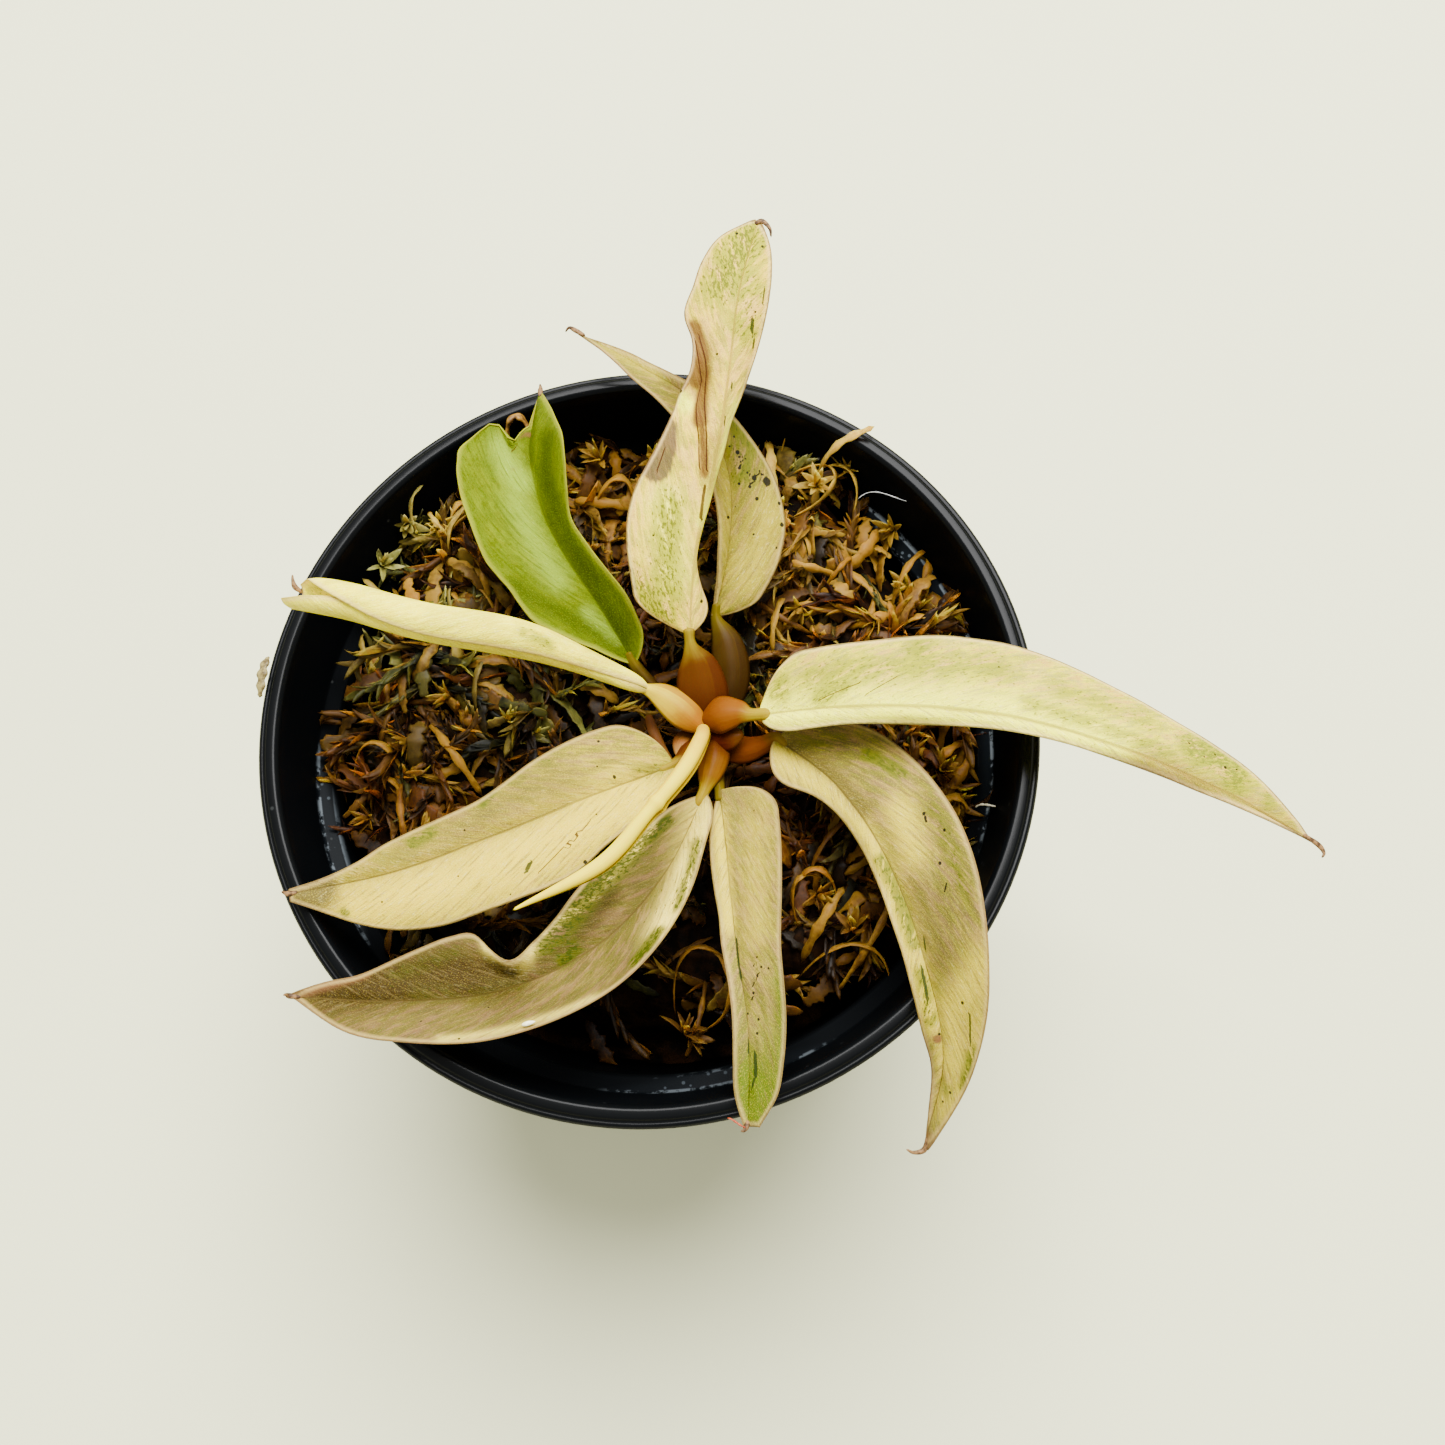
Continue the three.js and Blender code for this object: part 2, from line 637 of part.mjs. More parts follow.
// Strands stand on a random share of the bed's upper facets, each in the middle of its facet
function moss() {
  const random = randomSource(MOSS_SEED);
  const bed = mossBed();
  let solid = toSolid(bed);
  const corner = (facet, k) => {
    const vertex = bed.index.getX(3 * facet + k);
    return new THREE.Vector3().fromBufferAttribute(bed.attributes.position, vertex);
  };
  for (let facet = 0; facet < bed.index.count / 3; facet += 1) {
    const root = corner(facet, 0).add(corner(facet, 1)).add(corner(facet, 2)).divideScalar(3);
    const fromCrown = Math.hypot(root.x - CROWN.x, root.y - CROWN.y);
    const inside = fromCrown > STRANDS_FROM_CROWN && Math.hypot(root.x, root.y) < STRANDS_FROM_AXIS;
    const upper = root.z > LEDGE_TOP / 2;
    if (inside && upper && random() < STRAND_SHARE) {
      const heading = 2 * Math.PI * random();
      solid = solid.add(toSolid(strand(root, heading, 3 + 3 * random(), 4 + 4 * random())));
    }
  }
  const boreRadius = CROWN_RADIUS + 1.3 * CLEARANCE;
  const bore = new THREE.CylinderGeometry(boreRadius, boreRadius, 2 * POT_HEIGHT, 20);
  bore.rotateX(Math.PI / 2);
  bore.translate(CROWN.x, CROWN.y, CROWN_ROOT - 2 + POT_HEIGHT);
  return toGeometry(solid.subtract(toSolid(bore)));
}

function material(color, roughness) {
  return new THREE.MeshStandardMaterial({ color, roughness, metalness: 0 });
}

function piece(name, geometry, color, roughness) {
  const mesh = new THREE.Mesh(geometry, material(color, roughness));
  mesh.name = name;
  return mesh;
}

// The plant in its pot
const plant = new THREE.Group();
plant.add(piece("pot", pot(), 0x14161a, 0.35));
plant.add(piece("moss", moss(), 0x7a5a2c, 0.95));
plant.add(piece("stem", stem(), 0xb8763a, 0.5));
plant.add(piece("spear", spearRod(), 0xe8dc7a, 0.4));
for (const [name, spec] of Object.entries(LEAVES)) {
  const blade = name === "leaf_west" ? leafWest() : leaf(spec);
  plant.add(piece(name, blade, spec.color, 0.5));
}

export default plant;
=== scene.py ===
"""Potted variegated caramel marble philodendron, seen from above.

The packed model is the fixed frame. The pieces made here stand for its nodes with finer shapes, and
every surface gets a procedural finish. Shapes are worked out in millimetres and stored in metres.
"""

import math

import bmesh
import bpy
import numpy as np
from mathutils import Matrix, Vector


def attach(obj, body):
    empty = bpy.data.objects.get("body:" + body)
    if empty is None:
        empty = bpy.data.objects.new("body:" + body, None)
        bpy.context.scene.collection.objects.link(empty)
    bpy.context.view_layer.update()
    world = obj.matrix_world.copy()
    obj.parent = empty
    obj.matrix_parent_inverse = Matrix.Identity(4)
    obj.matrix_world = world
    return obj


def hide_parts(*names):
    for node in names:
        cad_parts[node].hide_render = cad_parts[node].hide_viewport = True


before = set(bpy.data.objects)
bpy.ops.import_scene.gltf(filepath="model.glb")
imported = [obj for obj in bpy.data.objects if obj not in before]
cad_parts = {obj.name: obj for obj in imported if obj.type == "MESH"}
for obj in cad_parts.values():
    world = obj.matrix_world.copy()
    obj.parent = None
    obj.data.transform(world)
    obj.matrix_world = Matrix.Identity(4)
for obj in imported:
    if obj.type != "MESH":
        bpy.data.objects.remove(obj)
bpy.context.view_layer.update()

MM = 0.001
WELD = 1e-6

# The camera in mm, the key light and the floor in metres, and the strength of the sky
CAMERA_PLACE, CAMERA_AIM = (16.58, -52.29, 262.97), (9.8, -0.12, 80)
FILM_WIDTH = 36
KEY_PLACE, KEY_SIZE = (0.13, 0.64, 1.25), 1.1
FLOOR_SIZE, FLOOR_GAP = 1.6, 0.0002
SKY_STRENGTH = 1.1

bl_info = {
    "name": "Potted Philodendron",
    "version": (1, 0, 0),
    "blender": (4, 5, 0),
    "location": "View3D > Sidebar > Philodendron",
    "description": "Builds a variegated philodendron in a nursery pot round its packed frame",
    "category": "Add Mesh",
}

# Pot section, from the middle of the underside, up the outside, over the rim and down the inside
POT_PROFILE = [
    (0, 0), (34.8, 0), (36, 1.2), (45.5, 66), (47.6, 73.5), (48, 78.4), (48.8, 78.2), (48.4, 73.5),
    (49.4, 73.5), (50, 78.9), (49.6, 79.5), (49.1, 79.4), (48.8, 79.9), (47.7, 80), (47.2, 79.5),
    (45.4, 68.6), (43.4, 68.1), (43.1, 67), (42.7, 62), (34.3, 1.8), (0, 1.8),
]
# Its inner wall from the foot up, how its corners are rounded in metres, from what turn on an edge is
# sharp, how far in mm the moss keeps off the wall, and the drain holes
WALL_RADII, WALL_HEIGHTS = zip(*POT_PROFILE[19:13:-1])
POT_ROUNDING = 0.22 * MM
POT_CREASE = math.radians(40)
POT_GAP = 0.3
DRAINS = {"count": 8, "radius": 3.2, "circle": 28.5, "depth": 6}

# Leaves, with the same named values as the frame. Widths, slopes and curls are at even steps from the
# neck to the tip. Left and right are as seen from above, looking from the neck to the tip. Base is how
# far the blade draws in at its neck. Tears shift the blade along, as (along, mm beside, reach along,
# reach beside, mm). Lifts raise it, as (along, across, reach along, reach across, mm). The hook is the
# dry end of the tip, as steps in mm from the spine's end. Marks are at points along 0..1 and across
# -1..1: soft ones are (points, reach in mm, strength), thin lines (points, reach) and dark specks
# (along, across, reach).
# Light marks are painted highlight, where a blade faces the light or would sparkle, and shade marks are
# painted shade, where it turns away from the light or lies under a fold.
LEAVES = {
    "leaf_east": {
        "heel": 6, "base": 0.55, "wave": (0.5, 2.5, 0.4),
        "spine": [(14.5, 1, 79.5), (27.5, 0, 86.5), (42.5, -2, 89.5), (57, -5.5, 87.5), (70.5, -10, 83),
                  (83.5, -15.5, 77)],
        "left": ([7.5, 8.5, 10, 9.5, 7.5, 4.5, 0], [5, 0, -5, -5, -5], [-15, -10, -25, -20, -10]),
        "right": ([3, 2.3, 2.1, 1.8, 1.5, 1.3, 0], [-8, -22, -28, -36, -28], [-10, -10, 5, 10, 0]),
        "hook": [(-2, 1, 0.8), (0.2, -0.3, 0), (0.9, -1.3, -0.2), (0.5, -2, 0)],
        "marks": {
            "green": [([(0.04, -0.47)], 2.4, 1.1), ([(0.12, -0.2), (0.16, -0.3)], 1.6, 1.1),
                      ([(0.1, -0.5), (0.4, -0.6)], 3, 0.8), ([(0.28, -0.78)], 2.6, 1),
                      ([(0.5, -0.5), (0.66, -0.6)], 2, 0.7), ([(0.89, -0.52)], 1.3, 1),
                      ([(0.74, -0.55), (0.8, -0.7), (0.82, -0.5)], 2.6, 1.4),
                      ([(0.45, -0.2), (0.7, -0.2)], 1.2, 0.8)],
            "light": [([(0, 0.5), (0.6, 0.5)], 3.4, 1)],
            "shade": [([(0.66, 0.8), (0.95, 0.7)], 2.4, 0.8)],
            "dark": [(0.8, -0.55, 0.22), (0.73, -0.6, 0.15), (0.82, -0.68, 0.15), (0.4, -0.62, 0.12),
                     (0.78, -0.72, 0.14), (0.76, -0.5, 0.14)],
            "scar": [([(0.12, -0.12), (0.19, -0.33)], 0.07), ([(0.2, -0.15), (0.25, -0.4)], 0.06)],
            "brown": [([(1, 0)], 2, 1)],
        },
    },
    "leaf_southeast": {
        "heel": 4, "base": 0.55, "wave": (0.6, 2, 1),
        "spine": [(16.5, -1, 75.5), (24.6, -8.6, 79), (30.5, -19.2, 82), (34, -30.8, 84), (36, -41.8, 81.5),
                  (34, -52, 75)],
        "left": ([4, 8.4, 10.2, 10.4, 8.4, 4, 0.4], [0, 25, 45, 50, 35], [-20, -20, -10, 0, 0]),
        "right": ([2.6, 4.4, 3.1, 2.3, 2.2, 2.5, 2.7, 2.6, 2.6, 2.4, 1.5, 0.9, 0], [10, -5, -5, -15], [-10,
                  -20, -25, -30]),
        "hook": [(0.3, 1.6, 0.8), (-0.1, -0.2, 0.1), (-1.4, -0.6, 0.3), (-2.4, -0.2, 0.9)],
        "marks": {
            "green": [([(0.19, -0.6), (0.26, -0.75)], 0.9, 1.3), ([(0.38, 0.3), (0.56, 0.3)], 1.2, 1),
                      ([(0.62, 0.4), (0.72, 0.45)], 1, 0.9), ([(0.78, -0.85), (0.83, -0.9)], 1.2, 1.2),
                      ([(0.36, -0.8), (0.52, -0.8)], 1.4, 0.7), ([(0.06, -0.3), (0.14, -0.5)], 1.4, 0.5),
                      ([(0.86, -0.4)], 1.2, 0.7)],
            "light": [([(0.05, 0.5), (0.45, 0.6), (0.72, 0.6)], 2.4, 1),
                      ([(0.32, -0.45), (0.4, -0.35)], 2.2, 0.9), ([(0.68, -0.8), (0.9, -0.5)], 2.4, 0.6),
                      ([(0.64, -0.9), (0.7, -0.3), (0.8, -0.3)], 2.6, 0.9)],
            "shade": [([(0.04, -0.1), (0.27, -0.08)], 1.3, 1), ([(0.5, -0.2), (0.6, -0.3)], 2.6, 0.6)],
            "dark": [(0.35, -0.68, 0.24), (0.365, -0.66, 0.18), (0.4, -0.8, 0.2), (0.45, -0.6, 0.26),
                     (0.49, -0.6, 0.14), (0.5, -0.55, 0.14), (0.69, -0.52, 0.22), (0.86, -0.5, 0.18),
                     (0.885, -0.35, 0.14), (0.75, 0.2, 0.18)],
            "slash": [([(0.71, -0.66), (0.76, -0.72)], 0.14), ([(0.61, 0.3), (0.68, 0.4)], 0.16),
                      ([(0.56, -0.1), (0.58, -0.08)], 0.13)],
            "brown": [([(0.76, 0.3)], 0.5, 1.3), ([(1, 0)], 2.4, 1),
                      ([(0.76, 0.98), (0.92, 0.95)], 0.5, 0.8)],
        },
    },
    "leaf_south": {
        "heel": 7, "base": 0.5, "wave": (0.3, 2, 0),
        "spine": [(9.3, -8, 76), (10.5, -18, 79), (11.5, -28, 81.5), (13, -38.5, 82.5),
                  (12.9, -49.7, 81.8)],
        "left": ([8, 8.1, 8.3, 8.5, 8.4, 7.9, 7.1, 6.3, 5.8, 5.4, 4.9, 4.1, 1.6], [20, 35, 30, 20], [10, 10,
                 10, 30]),
        "right": ([1, 1.6, 2.1, 2.25, 2.1, 1.8, 1.85, 1.75, 1.8, 1.95, 2, 1.75, 0.6], [-5, 5, 10, 10], [-30,
                  -20, -10, -10]),
        "hook": [(-0.1, 0.8, 0), (-0.2, 0.1, 0.1), (-0.5, -0.4, 0.2), (-0.9, -0.5, 0.3)],
        "marks": {
            "lime": [([(0.98, 0)], 7.5, 1.7), ([(0.66, -1), (0.86, -0.9)], 1.9, 1),
                     ([(0.86, 0.6)], 2.4, 0.7)],
            "light": [([(0.08, 0.4), (0.45, 0.5)], 1.5, 1), ([(0.1, -0.7), (0.5, -0.5)], 2.5, 0.5)],
            "shade": [([(0.02, -0.2), (0.1, -0.6)], 2, 0.5)],
            "slash": [([(0.5, -0.02), (0.56, 0.03), (0.61, 0.02)], 0.4),
                      ([(0.785, 0.1), (0.815, 0.1)], 0.2), ([(0.82, -0.2), (0.87, -0.22)], 0.26),
                      ([(0.87, -0.2), (0.9, -0.15)], 0.14)],
            "dark": [(0.57, -0.45, 0.13), (0.61, -0.68, 0.15), (0.6, -0.52, 0.18), (0.65, -0.22, 0.15),
                     (0.635, -0.3, 0.12), (0.66, -0.25, 0.18), (0.675, -0.2, 0.14), (0.71, -0.05, 0.17),
                     (0.73, -0.3, 0.18), (0.76, 0, 0.2), (0.765, -0.25, 0.2), (0.62, -0.4, 0.2),
                     (0.59, -0.35, 0.12), (0.12, -0.6, 0.12)],
        },
    },
    "leaf_southwest_lower": {
        "heel": 5, "base": 0.7, "wave": (0.3, 2, 2),
        "spine": [(7.5, -8.5, 76.5), (2.5, -19.8, 80), (-5.8, -28.9, 81.5), (-17, -34.1, 82.5),
                  (-29.5, -35.2, 83), (-42, -34.6, 82.5)],
        "left": ([2.5, 3.6, 6.2, 8, 8.5, 7.9, 6.3, 4.2, 0], [35, 30, 30, 10], [-10, 20, 20, 0]),
        "right": ([1.5, 3.6, 5.2, 6.6, 7.3, 7.2, 6.7, 5.6, 4.3, 3, 7.2, 7.4, 6.3, 4.7, 3, 2, 0.4], [8, 10,
                  8, 0], [-10, -10, -10, 0]),
        "lifts": [(0.55, 1, 0.035, 0.35, 1.6), (0.66, 1, 0.1, 0.4, 0.8), (0.6, 0.4, 0.05, 0.3, -0.7)],
        "hook": [(1.3, 0, 0), (-0.1, 0.1, 0.1), (-0.5, 0.2, 0.5), (-0.6, 0.1, 1.1)],
        "marks": {
            "green": [([(0.09, 0.72), (0.16, 0.78)], 1, 1.6),
                      ([(0.17, 0.8), (0.32, 0.8), (0.48, 0.78)], 1.9, 1.3),
                      ([(0.43, 0.25), (0.46, 0.15)], 1.2, 1.3), ([(0.68, 0.75), (0.8, 0.6)], 1.4, 0.5),
                      ([(0.12, -0.7), (0.24, -0.85)], 1.3, 1.1), ([(0.3, -0.8), (0.36, -0.85)], 1, 1.5),
                      ([(0.22, -0.3), (0.42, -0.3)], 3, 0.45), ([(0.56, 0), (0.75, 0.1)], 2.4, 0.4)],
            "shade": [([(0.58, 0.3), (0.7, 0.45), (0.92, 0.4)], 3.6, 1.3),
                      ([(0.3, 0.5), (0.5, 0.4)], 1.4, 0.9), ([(0.95, 0)], 3, 0.9)],
            "light": [([(0.48, 1), (0.55, 0.8), (0.6, 1)], 0.9, 1.4), ([(0.1, 1), (0.46, 1)], 0.6, 1),
                      ([(0.05, -0.5), (0.16, -0.7), (0.27, -0.85)], 2.5, 1.3),
                      ([(0.45, -0.92), (0.7, -0.9)], 0.7, 0.6)],
            "dark": [(0.67, -0.9, 0.16), (0.74, -0.5, 0.12), (0.62, -0.3, 0.12)],
            "brown": [([(1, 0)], 1.4, 1), ([(0.86, 1), (0.98, 0.9)], 1.1, 0.7)],
        },
    },
    "leaf_southwest_upper": {
        "heel": 6, "base": 0.5, "wave": (0.3, 2.5, 0.5),
        "spine": [(3.5, -5, 77.5), (-7.5, -10, 80.5), (-19, -15, 81.5), (-31, -19.5, 82), (-43.5, -22, 82)],
        "left": ([5, 5.2, 5.6, 6.8, 8.4, 8.9, 8.8, 8.6, 8.4, 7.4, 5.6, 3.3, 1], [12, 16, 14, 0], [-25, -30,
                 -30, -10]),
        "right": ([7, 7.7, 8, 7.8, 7.1, 5.9, 4.9, 4.7, 4.5, 3.8, 2.2, 1.1, 0.6], [12, 14, 12, 0], [-25, -25,
                  -25, -10]),
        "hook": [(1.2, 0.2, 0), (0, 0, 0), (-0.5, 0.1, 0), (-0.9, 0.3, 0)],
        "marks": {
            "green": [([(0.46, 0.9), (0.49, 0.82)], 0.6, 1.3), ([(0.63, 0.7), (0.68, 0.6)], 1.1, 1.1),
                      ([(0.87, -0.8)], 0.7, 1.2), ([(0.7, 0.4), (0.85, 0.5)], 2, 0.45),
                      ([(0.02, 0), (0.1, 0.1)], 1.6, 0.6), ([(0.3, 0.8), (0.4, 0.9)], 1.2, 0.5)],
            "light": [([(0.12, -0.5), (0.5, -0.5), (0.85, -0.4)], 4.6, 1)],
            "shade": [([(0.3, 0.5), (0.9, 0.4)], 3, 0.6), ([(0.3, 0.02), (0.8, 0.02)], 0.8, 0.5),
                      ([(0.93, 0), (1, 0)], 3.2, 1.6)],
            "dark": [(0.16, 0.78, 0.2), (0.19, 0.4, 0.16), (0.16, 0.15, 0.26), (0.31, -0.95, 0.3),
                     (0.6, -0.4, 0.12), (0.5, -0.9, 0.12), (0.55, 0.4, 0.14), (0.24, -0.4, 0.12),
                     (0.78, -0.5, 0.14)],
            "slash": [([(0.435, -0.6), (0.445, -0.66)], 0.28)],
            "scar": [([(0.3, -0.5), (0.42, -0.75)], 0.06), ([(0.26, -0.45), (0.33, -0.62)], 0.06)],
        },
    },
    "leaf_green": {
        "heel": 4, "base": 0.7, "ragged": 0.008, "wave": (0.4, 1.5, 0),
        "tears": [(0.82, -5.4, 0.06, 2, 1.7), (0.85, -2.5, 0.06, 0.9, -1.8)],
        "spine": [(-2, 9.5, 75), (-6, 16, 77.5), (-10.5, 22.5, 80), (-14, 29.5, 81.5), (-15.5, 37.5, 82.5),
                  (-14.5, 45.5, 83)],
        "left": ([2, 2.6, 3.6, 5.2, 6.5, 7.7, 8.7, 8.9, 9, 9.5, 10, 10, 10, 10.2, 10.2, 9.9, 8.6, 1.5, 0, 0,
                 0], [5, 0, 0, 0], [20, 20, 30, 10]),
        "right": ([3, 3.7, 4.3, 4.1, 4, 4, 5.8, 7, 6.6, 3.9, 0], [25, 30, 38, 30], [10, 20, 20, 10]),
        "hook": [(0, -1, 0), (0, 0, 0), (0, 0.5, 0), (-0.1, 1, 0)],
        "marks": {
            "light": [([(0.68, -0.2), (0.78, -0.4)], 1.6, 1.3), ([(0.36, -0.3), (0.64, -0.3)], 1.7, 0.9),
                      ([(0.1, -0.2), (0.22, -0.3)], 1.1, 1.1)],
            "shade": [([(0.1, 0.3), (0.5, 0.5), (0.8, 0.5)], 2.2, 1),
                      ([(0.02, -0.6), (0.26, -0.6), (0.4, -0.9)], 1.8, 0.9),
                      ([(0.75, -0.02), (0.95, 0.1)], 1.2, 0.8), ([(0.05, 0.3), (0.2, 0.6)], 1.5, 0.7)],
            "brown": [([(0.73, -0.25)], 0.6, 0.5), ([(0.84, -0.1), (0.845, -0.5)], 0.5, 0.7)],
            "scar": [([(0.825, -0.35), (0.8, -0.3)], 0.1)],
        },
    },
    "leaf_north_back": {
        "heel": 4, "base": 0.75, "wave": (0.3, 2, 0),
        "spine": [(8.5, 16, 75), (10.5, 25, 78.5), (10.5, 34, 81.5), (6.5, 43, 83), (-1.5, 48, 85),
                  (-9.5, 53.5, 84)],
        "left": ([0.8, 0.9, 1.7, 2.2, 3.1, 3.9, 4.8, 5, 5, 4, 2.5, 1.2, 0], [50, 45, 20, 25], [10, 0, 20,
                 60]),
        "right": ([4.4, 5.7, 7, 7.5, 6.7, 5.4, 3.9, 2.5, 1.5, 1.2, 1, 0.6, 0], [0, 0, 10, 25], [-15, -20,
                  -20, 40]),
        "hook": [(1, -0.5, 0), (-0.2, 0.2, 0.1), (-1.2, 0.8, 0), (-1.8, 0.3, -0.3)],
        "marks": {
            "dark": [(0.36, 0.78, 0.6), (0.37, 0.53, 0.36), (0.385, 0.7, 0.16), (0.44, 0.38, 0.32),
                     (0.4, 0.28, 0.22), (0.36, 0.2, 0.18), (0.35, 0.4, 0.24), (0.32, 0.5, 0.26),
                     (0.27, -0.3, 0.24), (0.26, 0.93, 0.3), (0.23, 0.43, 0.18), (0.42, 0.5, 0.13),
                     (0.415, 0.36, 0.14), (0.385, 0.42, 0.16), (0.46, 0.25, 0.14), (0.31, 0.93, 0.24),
                     (0.2, 0.88, 0.16), (0.3, 0.1, 0.1), (0.48, 0.5, 0.16)],
            "green": [([(0.38, 0.3), (0.44, 0.45)], 2, 0.9), ([(0.44, 0.8), (0.52, 0.7)], 1.8, 0.9),
                      ([(0.9, 0), (0.98, 0)], 1.2, 0.4)],
            "light": [([(0.12, 0.5), (0.28, 0.7)], 3, 0.9), ([(0.1, -0.4), (0.5, -0.3)], 2, 0.6),
                      ([(0.75, 0.2), (0.92, 0)], 1.6, 0.8)],
            "shade": [([(0.56, 0), (0.64, 0)], 2, 0.6)],
            "brown": [([(0.78, -1), (0.92, -1)], 0.5, 0.9), ([(1, 0)], 1, 1)],
        },
    },
    "leaf_north": {
        "heel": 5, "base": 0.95, "wave": (0.3, 2, 1),
        "spine": [(5.5, 11.5, 80.5), (6.5, 21, 85.5), (9, 30.5, 90), (11, 40, 94.5), (12.5, 50.5, 97.5),
                  (15, 61, 97.5)],
        "left": ([6.8, 7.2, 7.9, 8.8, 9.5, 9.3, 8.5, 7.6, 7, 6.6, 5.6, 5.6, 6.9, 6.2, 5.7, 4.2, 0.4], [10,
                 15, 10, -10, -5, 0], [-20, -25, -25, -30, -10, 0]),
        "right": ([3.6, 3.2, 1.9, 0.8, 1.1, 1.7, 1.8, 2.2, 2, 2.5, 3, 3.5, 3.8, 3.8, 3.4, 2.4, 0.3], [-15,
                  -70, -70, -30, -5, 0], [-20, -10, -10, -20, -10, 0]),
        "lifts": [(0.62, -1, 0.09, 0.3, 1), (0.57, -0.55, 0.07, 0.15, -0.7),
                  (0.45, -0.3, 0.06, 0.12, -0.5)],
        "hook": [(-0.6, -0.6, 0), (0.4, -0.2, 0.2), (1.4, -1.2, 0.1), (1.6, -2.3, -0.3)],
        "marks": {
            "green": [([(0.95, -0.2), (0.82, -0.4)], 3.4, 1.35), ([(0.84, 0.3), (0.72, 0.3)], 2.4, 0.9),
                      ([(0.12, -0.93), (0.05, -0.6)], 2.4, 1.2), ([(0.1, -0.4), (0.3, -0.45)], 2.4, 1.1)],
            "brown": [([(0.71, -0.9), (0.65, -0.76), (0.6, -0.72)], 1.5, 1.3),
                      ([(0.6, -1), (0.58, -0.98)], 0.8, 1.2),
                      ([(0.62, -0.6), (0.56, -0.48), (0.5, -0.38)], 1.1, 1.2),
                      ([(0.5, -0.36), (0.44, -0.22), (0.38, -0.12)], 0.7, 0.9)],
            "shade": [([(0.68, -0.6), (0.56, -0.3)], 1.2, 0.7), ([(0.46, -0.1), (0.36, 0)], 1, 0.7)],
            "grey": [([(0.46, -1), (0.42, -0.88), (0.37, -0.84)], 1.9, 1.2)],
            "scar": [([(0.7, -0.78), (0.645, -0.62), (0.6, -0.48), (0.54, -0.36), (0.47, -0.2),
                     (0.39, -0.1)], 0.11)],
            "crack": [([(0.69, -0.9), (0.6, -0.64), (0.535, -0.53), (0.465, -0.36), (0.39, -0.2)], 0.1),
                      ([(0.35, -0.07), (0.28, -0.03)], 0.2), ([(0.42, -0.84), (0.36, -0.8)], 0.1)],
            "light": [([(0.55, -0.96), (0.53, -0.74)], 0.9, 1.5),
                      ([(0.55, 0.9), (0.39, 0.5), (0.27, 0.4)], 1, 1.2),
                      ([(0.3, -0.5), (0.14, -0.3)], 2.4, 0.8)],
            "dark": [(0.565, -0.98, 0.24), (0.08, 0.55, 0.26), (0.765, 0.6, 0.16), (0.66, -0.32, 0.16),
                     (0.8, -0.75, 0.12), (0.93, 0.55, 0.2), (0.95, -0.6, 0.2), (0.78, -0.2, 0.1),
                     (0.86, -0.4, 0.1), (0.22, -0.6, 0.14)],
            "slash": [([(0.745, 0.55), (0.72, 0.6)], 0.26), ([(0.705, 0.74), (0.685, 0.77)], 0.16),
                      ([(0.83, 0.78), (0.79, 0.8)], 0.1), ([(0.6, 0.2), (0.585, 0.22)], 0.12),
                      ([(0.52, 0.1), (0.5, 0.12)], 0.12)],
        },
    },
    "leaf_west": {
        "heel": 3, "base": 0.5, "wave": (0, 1, 0),
        "spine": [(0, 5, 77.8), (-12.5, 8, 84.5), (-26, 9, 91), (-35, 11.5, 92), (-43, 14.5, 87.5)],
        "left": ([2, 4.1, 6, 5.9, 5.7, 5.2, 4], [0, 0, 0], [150, 190, 200, 200, 190, 160, 130]),
        "right": ([2.4, 5.8, 9.6, 9.2, 8, 5.6, 2], [0, 0, 0], [190, 225, 235, 235, 215, 160, 75]),
        "hook": [(0.3, 0.6, 0.6), (-0.6, 1.2, 1), (-0.9, 2, 1.2), (-1, 2.8, 1.3)],
        "marks": {
            "green": [([(0.26, 0.8), (0.32, 0.75)], 0.9, 0.8), ([(0.9, 0.5), (0.96, 0.3)], 1.6, 0.6)],
            "brown": [([(1, 0)], 1, 1)],
            "dark": [(0.7, 0.2, 0.12), (0.4, 0.3, 0.1)],
        },
    },
}
# Kinds of mark that fade out softly, of which light is painted highlight and shade painted shade, thin lines
# with a crisp edge, and the value where no mark is near
SOFT_MARKS = ("green", "light", "shade", "lime", "brown", "grey")
LINE_MARKS = ("scar", "crack", "slash")
FAR_OFF = 9.0
# Every blade: how its side veins lean in degrees, its groove along the rib and its swellings, in mm
VEIN_LEAN = 24
GROOVE_DEPTH, GROOVE_WIDTH = 0.3, 0.7
SWELLING = 0.22

